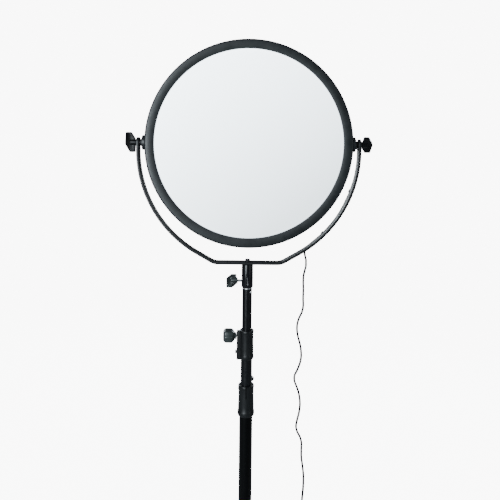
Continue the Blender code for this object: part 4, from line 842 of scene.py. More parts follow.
@dataclass
class Lead:
    """The mains lead from the head's connector down to the coil and the plug."""

    diameter: float = 0.005
    spacing: float = 0.0035
    coil_centre: Point = (0.2035, 0.1175)
    coil_turns: int = 6
    coil_mean_radius: float = 0.029
    coil_pitch: float = 0.0057
    coil_lift: float = 0.0036
    coil_points: int = 48
    coil_start: float = -38.0
    coil_tail: float = 0.030
    coil_exit: tuple[Point, ...] = (
        (0.15, 0), (0.3, 0.06), (0.45, 0.3), (0.6, 0.62), (0.75, 0.9), (0.87, 1), (1, 1),
    )
    plug_height: float = 0.0073
    plug_half: tuple[Point, ...] = (
        (0.0060, 0), (0.0084, 0.004), (0.0100, 0.010), (0.0118, 0.017), (0.0125, 0.022), (0.0125, 0.028),
    )
    tie_width: float = 0.014
    tie_thickness: float = 0.0006
    connector_size: Point = (0.0088, 0.0150)
    connector_length: float = 0.0120
    ridge_size: Point = (0.0090, 0.0110)
    ridge_width: float = 0.0007
    nose_length: float = 0.0100
    blade: Point = (0.0015, 0.0064)
    blade_length: float = 0.016
    blade_hole: float = 0.0014
    blade_offset: float = 0.0064
    relief_length: float = 0.024
    ribs: int = 7
    rib: tuple[Point, ...] = (
        (-0.0002, 0), (0, 0.15), (0, 0.5), (-0.0002, 0.62), (-0.0007, 0.68), (-0.0007, 0.95),
    )
    head_run: tuple[Place, ...] = (
        (0.1116, 0.034, 1.48), (0.118, 0.034, 1.48), (0.14, 0.0318, 1.4803), (0.168, 0.0262, 1.4806),
        (0.19, 0.0232, 1.4804), (0.212, 0.0228, 1.4801), (0.229, 0.0228, 1.48),
    )
    yoke_run: tuple[Place, ...] = (
        (0.2358, 0.0228, 1.48), (0.24, 0.0228, 1.48), (0.2455, 0.0226, 1.4774), (0.2513, 0.0218, 1.4719),
        (0.2553, 0.0207, 1.463), (0.2562, 0.0194, 1.45), (0.254, 0.018, 1.434), (0.2485, 0.0169, 1.415),
        (0.2435, 0.0167, 1.4), (0.2348, 0.0167, 1.3734), (0.2258, 0.0167, 1.3528), (0.215, 0.0167, 1.3311),
        (0.2025, 0.0167, 1.311), (0.1883, 0.0167, 1.2929), (0.1725, 0.0167, 1.2757), (0.16, 0.0167, 1.2643),
        (0.1478, 0.0167, 1.2541), (0.138, 0.0168, 1.2453), (0.1325, 0.0168, 1.2365), (0.1315, 0.0168, 1.229),
        (0.1334, 0.0168, 1.22), (0.1348, 0.0168, 1.214), (0.1348, 0.0168, 1.2066),
    )
    hang_depth: float = 0.0168
    hang: tuple[Point, ...] = (
        (0.1348, 1.2063), (0.1348, 1.1995), (0.132, 1.1883), (0.1296, 1.1778), (0.129, 1.1634),
        (0.1295, 1.145), (0.1291, 1.125), (0.1295, 1.1074), (0.1266, 1.0932), (0.1192, 1.0769),
        (0.1158, 1.06), (0.1176, 1.04), (0.124, 1.016), (0.1262, 0.9944), (0.1242, 0.9788),
        (0.1179, 0.9609), (0.1115, 0.9477), (0.1111, 0.9355), (0.1158, 0.923), (0.1218, 0.9054),
        (0.1246, 0.8831), (0.1227, 0.8631), (0.118, 0.8431), (0.116, 0.8298), (0.119, 0.8175),
        (0.1256, 0.8052), (0.1289, 0.792), (0.1288, 0.7764), (0.1291, 0.7585), (0.132, 0.7385),
        (0.1343, 0.716), (0.134, 0.69), (0.1312, 0.655), (0.1294, 0.615), (0.1312, 0.57), (0.134, 0.525),
        (0.1328, 0.475), (0.1298, 0.425), (0.1296, 0.375), (0.1325, 0.32), (0.1338, 0.26), (0.132, 0.2),
        (0.1313, 0.15),
    )
    floor_run: tuple[Place, ...] = (
        (0.1318, 0.0169, 0.105), (0.1344, 0.0176, 0.065), (0.142, 0.0196, 0.033), (0.1545, 0.0226, 0.012),
        (0.169, 0.0262, 0.0042), (0.183, 0.0358, 0.0036), (0.1962, 0.0482, 0.0036), (0.207, 0.0611, 0.0036),
        (0.2144, 0.0706, 0.0036),
    )
    splits: Place = (1.385, 0.98, 0.56)
    stretches: tuple[Stretch, ...] = (
        Stretch(
            "lead_tilt", ("head", "yoke"), ((0.2165, 0.0228, 1.48), (0.2562, 0.0194, 1.445)), "cord_head_run",
        ),
        Stretch(
            "lead_pan", ("yoke", "top_section"), ((0.1478, 0.0167, 1.2541), (0.129, 0.0168, 0.99)),
            "cord_yoke_run",
        ),
        Stretch(
            "lead_upper", ("top_section", "middle_section"), ((0.124, 0.0168, 0.97), (0.124, 0.0168, 0.57)),
            "cord_drop", stiffness="limp",
        ),
        Stretch(
            "lead_lower", ("middle_section", "base"), ((0.1312, 0.0168, 0.55), (0.1313, 0.0168, 0.13)),
            "cord_coil", far_end="plug", lay="coiled",
        ),
    )

    def build(self) -> None:
        """Make the connector, the tie and the plug, then the four stretches."""
        hang = tuple((x, self.hang_depth, z) for x, z in self.hang)
        route = self.smooth(self.head_run + self.yoke_run + hang + self.floor_run)
        coil = self.coil()
        ends = [0, *(int(np.argmax(route[:, 2] < height)) for height in self.splits), len(route)]
        runs = [route[start : end + 1] for start, end in zip(ends, ends[1:])]
        runs[-1] = np.vstack([runs[-1], coil])
        fixings = ([self.connector()], [], [], [self.tie(), self.plug(coil[-1])])
        for cut, points, goes_with in zip(self.stretches, runs, fixings):
            self.stretch(cut, points, goes_with)

    @property
    def coil_sides(self) -> Point:
        """The inner and the outer radius of the coil's turns, to the lead's middle."""
        reach = self.coil_pitch * self.coil_turns / 4
        return self.coil_mean_radius - reach, self.coil_mean_radius + reach

    def smooth(self, route: Sequence[Place]) -> np.ndarray:
        """Evenly spaced points on a smooth curve through the route's points.

        Args:
            route: points from the head down. One that repeats the last is left out.

        Returns:
            The curve's points.
        """
        points = np.array(route, float)
        points = points[np.concatenate([[True], strides(points) > 0.001])]
        padded = np.vstack([2 * points[0] - points[1], points, 2 * points[-1] - points[-2]])
        fine = [
            b + 0.5 * t * (c - a + t * (2 * a - 5 * b + 4 * c - d + t * (3 * b - a - 3 * c + d)))
            for a, b, c, d in zip(padded, padded[1:], padded[2:], padded[3:])
            for t in np.linspace(0, 1, 16, endpoint=False)
        ]
        fine = np.array([*fine, points[-1]])
        walked = np.concatenate([[0], np.cumsum(strides(fine))])
        places = np.linspace(0, walked[-1], round(walked[-1] / self.spacing) + 1)
        return np.column_stack([np.interp(places, walked, column) for column in fine.T])

    def coil(self) -> np.ndarray:
        """The coil, in on the floor and out a layer higher, and its straight end.

        Returns:
            Points of its middle line.
        """
        start, (x, y) = math.radians(self.coil_start), self.coil_centre
        loops = []
        for index in range(self.coil_turns * self.coil_points + 1):
            turned = index / self.coil_points
            radius = self.coil_sides[1] - self.coil_pitch * min(turned, self.coil_turns - turned)
            angle = start + math.tau * turned
            rise = min(max((turned - self.coil_turns / 2) * 2 + 0.5, 0), 1)
            height = self.coil_lift + self.coil_pitch * rise * rise * (3 - 2 * rise)
            loops.append([x + radius * math.cos(angle), y + radius * math.sin(angle), height])
        last = np.array(loops[-1])
        tail = self.coil_tail * np.array([-math.sin(start), math.cos(start), 0])
        fall = np.array([0, 0, self.plug_height - last[2]])
        return np.array([*loops, *(last + tail * out + fall * down for out, down in self.coil_exit)])

    def stretch(self, cut: Stretch, points: np.ndarray, goes_with: list[Piece]) -> None:
        """One stretch of the lead, as a curved tube along its path from one body to the next.

        Args:
            cut: what the stretch is called, joins and stands for.
            points: its middle line about the stand's axis.
            goes_with: the pieces on it; not used.
        """
        path = points + np.array([0, STAND_Y, 0])
        curve = bpy.data.curves.new(cut.name, "CURVE")
        curve.dimensions = "3D"
        curve.bevel_depth = self.diameter / 2
        curve.bevel_resolution = 3
        curve.use_fill_caps = True
        spline = curve.splines.new("POLY")
        spline.points.add(len(path) - 1)
        for point, place in zip(spline.points, path):
            point.co = (*place, 1)
        tube = linked(cut.name, curve)
        take(tube)
        bpy.ops.object.convert(target="MESH")
        open_mesh(tube)
        close_mesh()
        dressed(tube, JACKET, 60)
        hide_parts(cut.node)
        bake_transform(tube)

    def connector(self) -> Piece:
        """The moulded connector in the head's inlet, with its grip and ribbed relief.

        Returns:
            The connector, in its place.
        """
        body = block("lead_connector", self.connector_size, 0.003, GAP, GAP + self.connector_length)
        eased(body, 0.0010, 3)
        ridges = []
        for low in (0.0034, 0.0048, 0.0062, 0.0076, 0.0090):
            ridge = block("ridge", self.ridge_size, 0.0028, low, low + self.ridge_width)
            ridges.append(eased(ridge, 0.0002, 1))
        nose = plate("nose", self.figure_eight(0.0), GAP - self.nose_length, 2 * GAP)
        base, step = 0.0042, self.relief_length / self.ribs
        taper = (self.diameter / 2 + 0.0008 - base) / (self.ribs - 1)
        ribs = [(base + taper * i + out, step * (i + up)) for i in range(self.ribs) for out, up in self.rib]
        relief = moved(lathe("relief", ribs[:-1], 32), shift(z=0.0116))
        piece = dressed(joined(body, nose, relief, *ridges), JACKET)
        return placed(piece, FRONT_VIEW @ INLET, "head", "cord_connector")

    @staticmethod
    def figure_eight(clearance: float) -> list[Point]:
        """The waisted outline of a two-pole connector.

        Args:
            clearance: how far it stands off the connector.

        Returns:
            The outline's corners.
        """
        radius, spread = 0.0032 + clearance, 0.0033
        outline = arc((0, spread), radius, -math.radians(50), math.radians(230), 14)
        return outline + arc((0, -spread), radius, math.radians(130), math.radians(410), 14)

    def tie(self) -> Piece:
        """The hook-and-loop strap round the coil's turns.

        Returns:
            The strap, in its place.
        """
        (inner, outer), slack, half = self.coil_sides, self.diameter / 2 + GAP, self.tie_width / 2
        width, height = outer - inner + 2 * slack, self.coil_pitch + 2 * slack
        strap = block("coil_tie", grown((width, height), self.tie_thickness), 0.0022, -half, half)
        carved(strap, block("hollow", (width, height), 0.0016, -2 * half, 2 * half))
        over = shift((outer + inner) / 2, 0, self.coil_lift + self.coil_pitch / 2) @ LEVEL
        place = STAND @ shift(*self.coil_centre) @ turn(self.coil_start + 180) @ over
        return placed(dressed(strap, STRAP), place, "base", "cord_tie")

    def plug(self, end: np.ndarray) -> Piece:
        """A moulded two-blade plug with finger grips.

        Args:
            end: the lead's last point.

        Returns:
            The plug, in its place.
        """
        base = self.relief_length
        outline = [*self.plug_half, *((-x, y) for x, y in reversed(self.plug_half))]
        body = eased(moved(plate("mains_plug_moulded", outline, -0.0070, 0.0070), LEVEL), 0.0026, 4, 50)
        neck = [(self.diameter / 2 + 0.0008, 0), (0.0036, 0.010), (0.0052, base)]
        soft = [moved(body, shift(z=base - 2 * GAP)), lathe("relief", neck, 32)]
        tip = base + 0.028
        blades = []
        for side in (1, -1):
            for index in range(4):
                grip = rod("grip", 0.0007, -0.0042, 0.0042, 12)
                soft.append(moved(grip, shift(0, side * 0.0067, base + 0.012 + 0.0026 * index) @ OUTWARD))
            blade = block("blade", self.blade, 0.0004, tip - 0.002, tip + self.blade_length)
            hole = bored(self.blade_hole, -0.005, 0.005, shift(z=tip + 0.0115), 16)
            carved(eased(blade, 0.0003, 2), hole)
            blades.append(dressed(moved(blade, shift(side * self.blade_offset)), STEEL))
        for part in soft:
            dressed(part, JACKET)
        heading = self.coil_start + 90
        place = STAND @ shift(*end) @ turn(heading) @ shift(GAP) @ OUTWARD @ turn(90)
        return placed(joined(*soft, *blades), place, "base", "mains_plug")


# Head


@dataclass
class LightHead:
    """The round panel, its control box and what is fixed to its back."""

    radius: float = 0.235
    depth: float = 0.038
    wall: float = 0.003
    face_inner: float = 0.2125
    face_thickness: float = 0.0025
    edge_round: float = 0.0045
    lip: float = 0.0008
    seam: float = -0.0110
    seam_depth: float = 0.0004
    ledge_width: float = 0.008
    ledge_thickness: float = 0.002
    diffuser_thickness: float = 0.002
    diffuser_step: float = 0.0008
    step_radius: float = 0.2055
    cover_thickness: float = 0.0025
    dish_radius: float = 0.188
    dish_depth: float = 0.003
    rim_screws: int = 8
    rim_screw_circle: float = 0.2215
    vent_rows: int = 2
    vents_in_row: int = 6
    vent_length: float = 0.026
    vent_width: float = 0.004
    vent_pitch: float = 0.014
    boss_radius: float = 0.017
    boss_hole: float = 0.0036
    boss_groove: Point = (0.0100, 0.0124)
    box_size: Place = (0.152, 0.104, 0.032)
    box_wall: float = 0.0025
    box_corner: float = 0.012
    box_draft: float = 0.94
    box_round: float = 0.0032
    corner_screw: Point = (0.0605, 0.0375)
    bezel: float = 0.0022
    window: Point = (0.044, 0.020)
    window_rise: float = 0.020
    inlet_size: Point = (0.009, 0.015)
    shaft_radius: float = 0.003
    shaft_hole: float = 0.0034
    tick: Point = (0.0016, 0.0005)
    long_tick: float = 0.0026
    ticks: int = 11
    tick_gap: float = 0.0022
    number_gap: float = 0.0074
    letter_height: float = 0.0036
    dial_radius: float = 0.0105
    dial_height: float = 0.0120
    dial_rise: float = -0.012
    dial_spacing: float = 0.066
    rocker: Point = (0.019, 0.013)
    rocker_rise: float = -0.033
    clip_place: Place = (0.2120, 0.0001, -0.0228)
    sides: int = 160

    def build(self) -> None:
        """Make every piece of the head."""
        self.ring()
        self.diffuser()
        self.back_cover()
        self.control_box()
        self.display_window()
        self.dial("dial_brightness", -1)
        self.dial("dial_colour", 1)
        self.power_switch()
        self.inlet()

    @property
    def front(self) -> float:
        """Depth of the head's front face."""
        return self.depth / 2

    @property
    def sheet_radius(self) -> float:
        """Radius of the sheets inside the ring."""
        return self.radius - self.wall - GAP

    @property
    def box_top(self) -> float:
        """Depth of the control box's seat on the dished cover."""
        return self.dish_depth - self.depth / 2 - GAP

    @property
    def box_back(self) -> float:
        """Depth of the control box's outer face."""
        return self.box_top - self.box_size[2]

    def ring(self) -> None:
        """The frame: wall, front flange, ledge, a seam line and two bosses."""
        outer, wall, face = self.radius, self.radius - self.wall, self.face_inner
        front, back, inside = self.front, -self.front, self.front - self.face_thickness
        seam, groove, edge = self.seam, self.seam_depth, self.edge_round
        ledge, shelf = back + self.cover_thickness + GAP, wall - self.ledge_width
        profile = [
            (outer - 0.0006, back), (outer, back + 0.0006), (outer, seam - groove),
            (outer - groove, seam - groove / 2), (outer - groove, seam + groove / 2), (outer, seam + groove),
            *arc((outer - edge, front - edge), edge, 0, math.pi / 2, 7),
            (face + self.lip, front), (face + 0.0002, front - 0.0003), (face, front - self.lip),
            (face, inside), (wall, inside), (wall, ledge + self.ledge_thickness),
            (shelf, ledge + self.ledge_thickness), (shelf, ledge), (wall, ledge), (wall, back),
        ]
        ring = lathe("head_frame", profile, self.sides, closed=True)
        hole, rim, high = self.boss_hole, self.boss_radius, BOSS_FACE
        low, sunk, (inner, outer) = wall + self.wall / 2, high - 0.0005, self.boss_groove
        outline = [
            (hole, low), (rim, low), (rim, high - 0.0012), (rim - 0.0004, high - 0.0003),
            (rim - 0.0012, high), (outer + 0.0004, high), (outer, sunk), (inner, sunk),
            (inner - 0.0004, high), (hole + 0.0005, high), (hole, sunk),
        ]
        bosses = [moved(lathe("boss", outline, 64, closed=True), turn(90 * side, "Y")) for side in (1, -1)]
        ring = dressed(joined(ring, *bosses), FRAME_PAINT)
        placed(ring, FRONT_VIEW, "head", "head_ring")

    def diffuser(self) -> None:
        """The opal sheet, raised a little inside its edge."""
        face, step = self.front - self.face_thickness - GAP, self.step_radius
        top = face + self.diffuser_step
        profile = [
            (self.sheet_radius, face - self.diffuser_thickness), (self.sheet_radius, face),
            (step + 0.0017, face), (step + 0.0009, top - 0.0003), (step + 0.0004, top - 0.00008),
            (step - 0.0004, top), (step * 0.66, top + 0.00008), (step * 0.33, top + 0.00012),
        ]
        # Its opal finish glows with painted light that falls off from the upper left.
        sheet = dressed(lathe("opal_diffuser", profile, self.sides), OPAL, 20)
        placed(sheet, FRONT_VIEW, "head", "diffuser")

    def screw(self, radius: float, height: float, place: Matrix) -> Piece:
        """A domed cross-head screw.

        Args:
            radius: its head's radius.
            height: its head's height.
            place: its seat, with the head towards -Z.

        Returns:
            The screw, in its place.
        """
        dome = ((1, 0), (1, 0.35), (0.86, 0.75), (0.55, 1))
        head = lathe("screw", [(x * radius, y * height) for x, y in dome], 24)
        for degrees in (0, 90):
            slot = block("slot", (1.1 * radius, 0.22 * radius), 0.04 * radius, 0.4 * height, 2 * height, 1)
            carved(head, moved(slot, turn(degrees)))
        return moved(dressed(head, CLIP_PLASTIC, 30), place @ turn(180, "X"))

    def back_cover(self) -> None:
        """A dished plate with rows of vent slots and screws round its rim."""
        radius, dish, depth, slope = self.sheet_radius, self.dish_radius, self.dish_depth, 2 * self.dish_depth
        back, front = -self.front, self.cover_thickness - self.front
        profile = [
            (dish, back + depth), (dish + 0.3 * slope, back + 0.72 * depth),
            (dish + 0.8 * slope, back + 0.16 * depth), (dish + slope, back), (radius - 0.0008, back),
            (radius, back + 0.0008), (radius, front), (dish + slope, front), (dish, front + depth),
        ]
        cover = lathe("head_back_cover", profile, self.sides)
        slots = []
        for row in range(self.vent_rows):
            for column in range(self.vents_in_row):
                across = (column - (self.vents_in_row - 1) / 2) * (self.vent_length + 2 * self.vent_width)
                up = self.box_size[1] / 2 + (row + 1) * self.vent_pitch
                slot = block("slot", (self.vent_length, self.vent_width), 0.0019, -0.03, 0.0)
                slots.append(moved(slot, shift(across, up)))
        carved(cover, joined(*slots))
        dressed(eased(cover, 0.0003, 1, 50), COVER_PAINT)
        screws = []
        for index in range(self.rim_screws):
            angle = math.tau * (index + 0.5) / self.rim_screws
            x, y = (self.rim_screw_circle * part for part in (math.cos(angle), math.sin(angle)))
            screws.append(self.screw(0.0030, 0.0014, shift(x, y, back)))
        placed(joined(cover, *screws), FRONT_VIEW, "head", "back_cover")

    def drafted(self, name: str, inset: float, low: float, high: float) -> Piece:
        """A block of the control box's outline whose low end is a little smaller.

        Args:
            name: its name.
            inset: how far it lies inside the outline.
            low: its lower end's depth.
            high: its upper end's depth.

        Returns:
            The block.
        """
        piece = block(name, grown(self.box_size[:2], -inset), self.box_corner - inset, low, high, 8)
        open_mesh(piece)
        pick(piece, "FACE", lambda middle, normal: normal.z < -0.9)
        bpy.ops.transform.resize(value=(self.box_draft, self.box_draft, 1), center_override=(0, 0, low))
        close_mesh()
        return piece

    def control_box(self) -> None:
        """A moulded shell with bezels, a scale round each dial and corner screws."""
        back, wall = self.box_back, self.box_wall
        low, high = back - 0.01, back + 0.01
        shell = self.drafted("control_box_shell", 0, back, self.box_top)
        rolled(shell, lambda a, b: max(a.z, b.z) < back + 0.0001, self.box_round, 5)
        cutters = [
            self.drafted("cavity", wall, back + wall, self.box_top + wall),
            moved(block("window", grown(self.window, GAP), 0.0021, low, high), shift(y=self.window_rise)),
            moved(block("rocker", self.rocker, 0.0006, low, high, 2), shift(y=self.rocker_rise)),
            moved(block("inlet", grown(self.inlet_size, GAP), 0.002, -0.015, 0.005), INLET),
        ]
        for side in (1, -1):
            cutters.append(moved(rod("shaft", self.shaft_hole, low, high, 24), self.dial_place(side)))
        dressed(eased(carved(shell, *cutters), 0.0003, 2, 55), BOX_PLASTIC)
        worked(shell, "WEIGHTED_NORMAL", keep_sharp=True)
        trims = self.bezels() + self.scales()
        for side_x in (1, -1):
            for side_y in (1, -1):
                corner = shift(side_x * self.corner_screw[0], side_y * self.corner_screw[1], back + 0.0001)
                trims.append(self.screw(0.0026, 0.0012, corner))
        placed(joined(shell, *trims), FRONT_VIEW, "head", "control_box")

    def dial_place(self, side: int, depth: float = 0.0) -> Matrix:
        """The middle of the dial on one side."""
        return shift(side * self.dial_spacing / 2, self.dial_rise, depth)

    def bezels(self) -> list[Piece]:
        """Raised frames round the window and the rocker.

        Returns:
            The two frames.
        """
        back, frames = self.box_back, []
        openings = ((self.window, self.window_rise, 0.0024), (self.rocker, self.rocker_rise, 0.0010))
        for size, rise, corner in openings:
            full = grown(size, self.bezel)
            rim = eased(block("bezel", full, corner + self.bezel, back - 0.0008, back + 0.0006), 0.0004, 2)
            carved(rim, block("hole", grown(size, GAP), corner, back - 0.01, back + 0.01, 4))
            frames.append(dressed(moved(rim, shift(y=rise)), BOX_PLASTIC))
        return frames

    def scales(self) -> list[Piece]:
        """Printed ticks and end numbers round the two dials, read from behind.

        Returns:
            The marks.
        """
        back, marks = self.box_back, []
        for side in (1, -1):
            for index in range(self.ticks):
                length = self.tick[0] if index % 5 else self.long_tick
                tick = block("tick", (length, self.tick[1]), 0.0001, back - 0.00012, back + 0.0001, 1)
                reach = self.dial_radius + self.tick_gap + length / 2
                marks.append(moved(tick, self.dial_place(side) @ turn(30 * index - 60) @ shift(reach)))
            for text, degrees in (("0", -60), ("10", 240)):
                out = Vector((self.dial_radius + self.number_gap, 0, 0))
                at = self.dial_place(side) @ turn(degrees) @ out
                marks.append(self.word(text, at))
        return [dressed(mark, PRINT, 30) for mark in marks]

    def word(self, text: str, at: Vector) -> Piece:
        """A printed word on the control box, read from behind.

        Args:
            text: the word.
            at: its middle, in front view.

        Returns:
            The word, as a mesh in its place.
        """
        put_down()
        bpy.ops.object.text_add(location=(0, 0, 0))
        word = bpy.context.view_layer.objects.active
        word.data.body = text
        word.data.size = self.letter_height
        word.data.align_x = word.data.align_y = "CENTER"
        word.data.extrude = 0.00006
        word.data.resolution_u = 3
        take(word)
        bpy.ops.object.convert(target="MESH")
        return moved(word, shift(at.x, at.y, self.box_back - 0.00008) @ turn(180, "Y"))

    def display_window(self) -> None:
        """A smoked window, its face just inside the bezel."""
        low, high = self.box_back - 0.0002, self.box_back + self.box_wall
        pane = eased(block("display_pane", self.window, 0.002, low, high), 0.0003, 2)
        place = FRONT_VIEW @ shift(y=self.window_rise)
        placed(dressed(pane, WINDOW), place, "head", "display_window")

    def dial(self, name: str, side: int) -> None:
        """A knurled cap with a dished top and a pointer line, on its shaft.

        Args:
            name: the name of its node, which is also its body's.
            side: 1 for the right in front view, -1 for the left.
        """
        radius, top = self.dial_radius, self.dial_height
        rim = radius - 0.0007
        crown = [
            (rim, top - 0.0012), (rim, top - 0.0006), (rim - 0.0003, top - 0.0001), (rim - 0.0009, top),
            (rim - 0.0016, top - 0.0001), (rim - 0.0022, top - 0.0004), (0.003, top - 0.0006),
        ]
        parts = [
            eased(plate(f"{name}_cap", wavy(radius, 0.0005, 32, 6), 0.0016, top - 0.0010), 0.0003, 1, 60),
            rod("skirt", radius, GAP, 0.0019, 64, 0.0003),
            lathe("crown", crown, 64),
            rod("shaft", self.shaft_radius, -0.005, GAP + 0.002, 24),
        ]
        # The dial wears the lightened knob plastic: painted light.
        for part in parts:
            dressed(part, PAINTED_LIGHT_KNOB_MOULDING)
        line = block("line", (0.0011, 0.0046), 0.0003, top - 0.0007, top - 0.0003, 2)
        dial = joined(*parts, dressed(moved(line, shift(y=-0.0048)), PRINT))
        place = FRONT_VIEW @ self.dial_place(side, self.box_back) @ turn(180, "X")
        placed(dial, place, name, name)

    def power_switch(self) -> None:
        """A rocker inside a circle about its pin, marked I and O."""
        reach, half = self.rocker[1] / 2 - GAP, self.rocker[0] / 2 - GAP
        hollow = ((0.93, 0.36), (0.5, 0.285), (0, 0.22), (-0.5, 0.285), (-0.93, 0.36))
        outline = arc((0, 0), reach, math.radians(205), math.radians(335), 20)
        outline += [(reach * x, reach * y) for x, y in hollow]
        rocker = moved(plate("power_rocker", [(y, x) for x, y in outline], -half, half), OUTWARD)
        # The rocker wears the lightened knob plastic: painted light.
        dressed(eased(rocker, 0.0004, 2, 35), PAINTED_LIGHT_KNOB_MOULDING)
        low, high, apart = -0.30 * reach - 0.0001, 0.0002 - 0.30 * reach, 0.55 * reach
        bar = block("bar", (0.0006, 0.0030), 0.0002, low, high, 1)
        profile = [(0.0010, low), (0.0016, low), (0.0016, high), (0.0010, high)]
        circle = lathe("circle", profile, 32, closed=True)
        marks = [dressed(moved(mark, shift(y=y)), PRINT) for mark, y in ((bar, apart), (circle, -apart))]
        place = FRONT_VIEW @ shift(0, self.rocker_rise, self.box_back + self.box_wall / 2) @ turn(8, "X")
        placed(joined(rocker, *marks), place, "power_switch", "power_switch")

    def inlet(self) -> None:
        """The two-pole inlet behind the connector, and the clip on the cover."""
        socket = block("lead_inlet", self.inlet_size, 0.002, -0.014, 0)
        carved(socket, plate("nose", Lead.figure_eight(GAP), -0.010, 0.002))
        dressed(eased(socket, 0.0003, 2), CLIP_PLASTIC)
        placed(socket, FRONT_VIEW @ INLET, "head", "mains_inlet")
        place = FRONT_VIEW @ shift(*self.clip_place) @ turn(90) @ turn(-90, "X")
        placed(saddle("head_lead_clip", 0.0035), place, "head", "head_cord_clip")


def saddle(
    name: str, base: float, bore: float = 0.0028, wall: float = 0.0014, length: float = 0.008
) -> Piece:
    """A saddle over the lead, drawn with the lead along Z and its base at y = -base.

    Args:
        name: its name.
        base: how far the lead is from what the saddle sits on.
        bore: the radius of its inside.
        wall: its thickness.
        length: its length along the lead.

    Returns:
        The saddle.
    """
    reach = bore + wall
    outline = [(-reach, -base), (reach, -base), *arc((0, 0), reach, 0, math.pi, 20)]
    piece = eased(plate(name, outline, -length / 2, length / 2), 0.0005, 2, 50)
    return dressed(carved(piece, rod("bore", bore, -length, length, 32)), CLIP_PLASTIC)


# Yoke


@dataclass
class Yoke:
    """The bent flat bar, its socket for the stand and what it carries."""

    width: float = 0.025
    arc_radius: float = 0.2677
    arc_drop: float = 0.015
    sweep: float = math.radians(60.5)
    bottom_drop: float = 0.2703
    bend_radius: float = 0.035
    screw_hole: float = 0.0035
    bush_radius: float = 0.008
    bush_waist: float = 0.0006
    receiver_length: float = 0.0518
    bore: float = 0.0083
    slot: Point = (0.0036, 0.018)
    bolt_radius: float = 0.004
    bolt_head: Point = (0.0064, 0.0052)
    clips: tuple[tuple[str, int], ...] = (("yoke_cord_clip_upper", 9), ("yoke_cord_clip_lower", 14))

    def build(self) -> None:
        """Make every piece of the yoke."""
        self.bar()
        self.receiver()
        self.bolt()
        self.bushes()
        self.lead_clips()

    @staticmethod
    def drawn(x: float, y: float) -> None:
        """Extrude the picked loop by a straight length."""
        bpy.ops.mesh.extrude_region()
        bpy.ops.transform.translate(value=(x, y, 0))

    def bar(self) -> None:
        """The flat bar: an end loop drawn down the arm, round the arc and the bend, and mirrored."""
        top, low, slope = self.width / 2, self.bottom_drop, math.pi / 2 - self.sweep
        put_down()
        bpy.ops.mesh.primitive_plane_add(size=1, location=(ARM_REACH, top, 0), rotation=(math.pi / 2, 0, 0))
        bar = started("yoke_flat_bar")
        open_mesh(bar)
        bpy.ops.transform.resize(value=(ARM_THICKNESS, 1, self.width), center_override=(ARM_REACH, top, 0))
        bpy.ops.mesh.delete(type="ONLY_FACE")
        bpy.ops.mesh.select_mode(type="EDGE")
        bpy.ops.mesh.select_all(action="SELECT")
        self.drawn(0, -self.arc_drop - top)
        x, y = ARM_REACH - self.arc_radius, -self.arc_drop
        bpy.ops.mesh.spin(steps=40, angle=self.sweep, center=(x, y, 0), axis=(0, 0, 1))
        x += self.arc_radius * math.cos(self.sweep)
        y -= self.arc_radius * math.sin(self.sweep)
        run, back = (low + y) / math.sin(slope), self.bend_radius * math.tan(slope / 2)
        self.drawn((back - run) * math.cos(slope), (back - run) * math.sin(slope))
        x -= run * math.cos(slope) + back
        bpy.ops.mesh.spin(steps=10, angle=slope, center=(x, self.bend_radius - low, 0), axis=(0, 0, 1))
        self.drawn(-x, 0)
        pick(bar, "EDGE", lambda a, b: min(a.y, b.y) > top - 0.0001)
        bpy.ops.mesh.edge_face_add()
        pick(bar, "EDGE", lambda a, b: min(a.y, b.y) > top - 0.0001 and abs(a.z - b.z) < 0.0001)
        bpy.ops.mesh.bevel(offset=top - 0.00008, segments=14, affect="EDGES")
        close_mesh()
        worked(bar, "MIRROR", use_axis=(True, False, False), merge_threshold=0.00001)
        open_mesh(bar)
        close_mesh()
        eased(bar, 0.0009, 3)
        ends = (ARM_REACH - ARM_THICKNESS, ARM_REACH + ARM_THICKNESS)
        holes = [moved(rod("hole", self.screw_hole, *ends), turn(90 * side, "Y")) for side in (1, -1)]
        bolt = rod("hole", self.bolt_radius + 0.0005, -ARM_THICKNESS, ARM_THICKNESS)
        carved(bar, *holes, moved(bolt, shift(y=-low) @ LEVEL))
        placed(dressed(bar, BAR_PAINT), FRONT_VIEW, "yoke", "yoke_bar")

    def receiver(self) -> None:
        """The socket for the stand's stud, with its slot to the front and a screw hole."""
        top = TILT_HEIGHT - self.bottom_drop - ARM_THICKNESS / 2 - GAP
        low, seat, at = top - self.receiver_length, STUD_TOP + GAP, shift(z=CLAMP_HEIGHT)
        outer, bore, hole = RECEIVER_RADIUS, self.bore, self.bolt_radius + GAP
        profile = [
            (bore + 0.0006, low), (outer - 0.0010, low), (outer - 0.0003, low + 0.0003),
            (outer, low + 0.0010), (outer, top - 0.0010), (outer - 0.0003, top - 0.0003),
            (outer - 0.0010, top), (hole, top), (hole, seat), (bore, seat), (bore, low + 0.0006),
        ]
        sleeve = lathe("yoke_socket", profile, 72, closed=True)
        slot = moved(block("slot", self.slot, self.slot[0] / 2 - 0.00002, 0.001, 0.02, 8), at @ LEVEL)
        carved(sleeve, slot, bored(SCREW_HOLE, -2 * outer, -0.001, at, 32))
        dressed(eased(sleeve, 0.0003, 2, 60), TUBE_PAINT)
        placed(sleeve, STAND, "yoke", "yoke_receiver")

    def bolt(self) -> None:
        """Hexagon bolt through the flat, with its washer and shank."""
        radius, top = self.bolt_head[0], GAP + self.bolt_head[1]
        head = [
            (radius, GAP + 0.0010), (radius, top - 0.0012), (radius - 0.0004, top - 0.0004),
            (radius - 0.0016, top), (radius - 0.0026, top), (radius - 0.0030, top - 0.0004),
        ]
        washer = rod("washer", radius + 0.0012, GAP, GAP + 0.0012, 40, 0.0003)
        shank = rod("shank", self.bolt_radius, -ARM_THICKNESS - 0.010, GAP + 0.002, 24, 0.0005)
        bolt = dressed(joined(lathe("yoke_bolt_head", head, 6), washer, shank), BOLT_BLACK, 25)
        place = FRONT_VIEW @ shift(y=ARM_THICKNESS / 2 - self.bottom_drop) @ turn(-90, "X")
        placed(bolt, place, "yoke", "yoke_bolt")

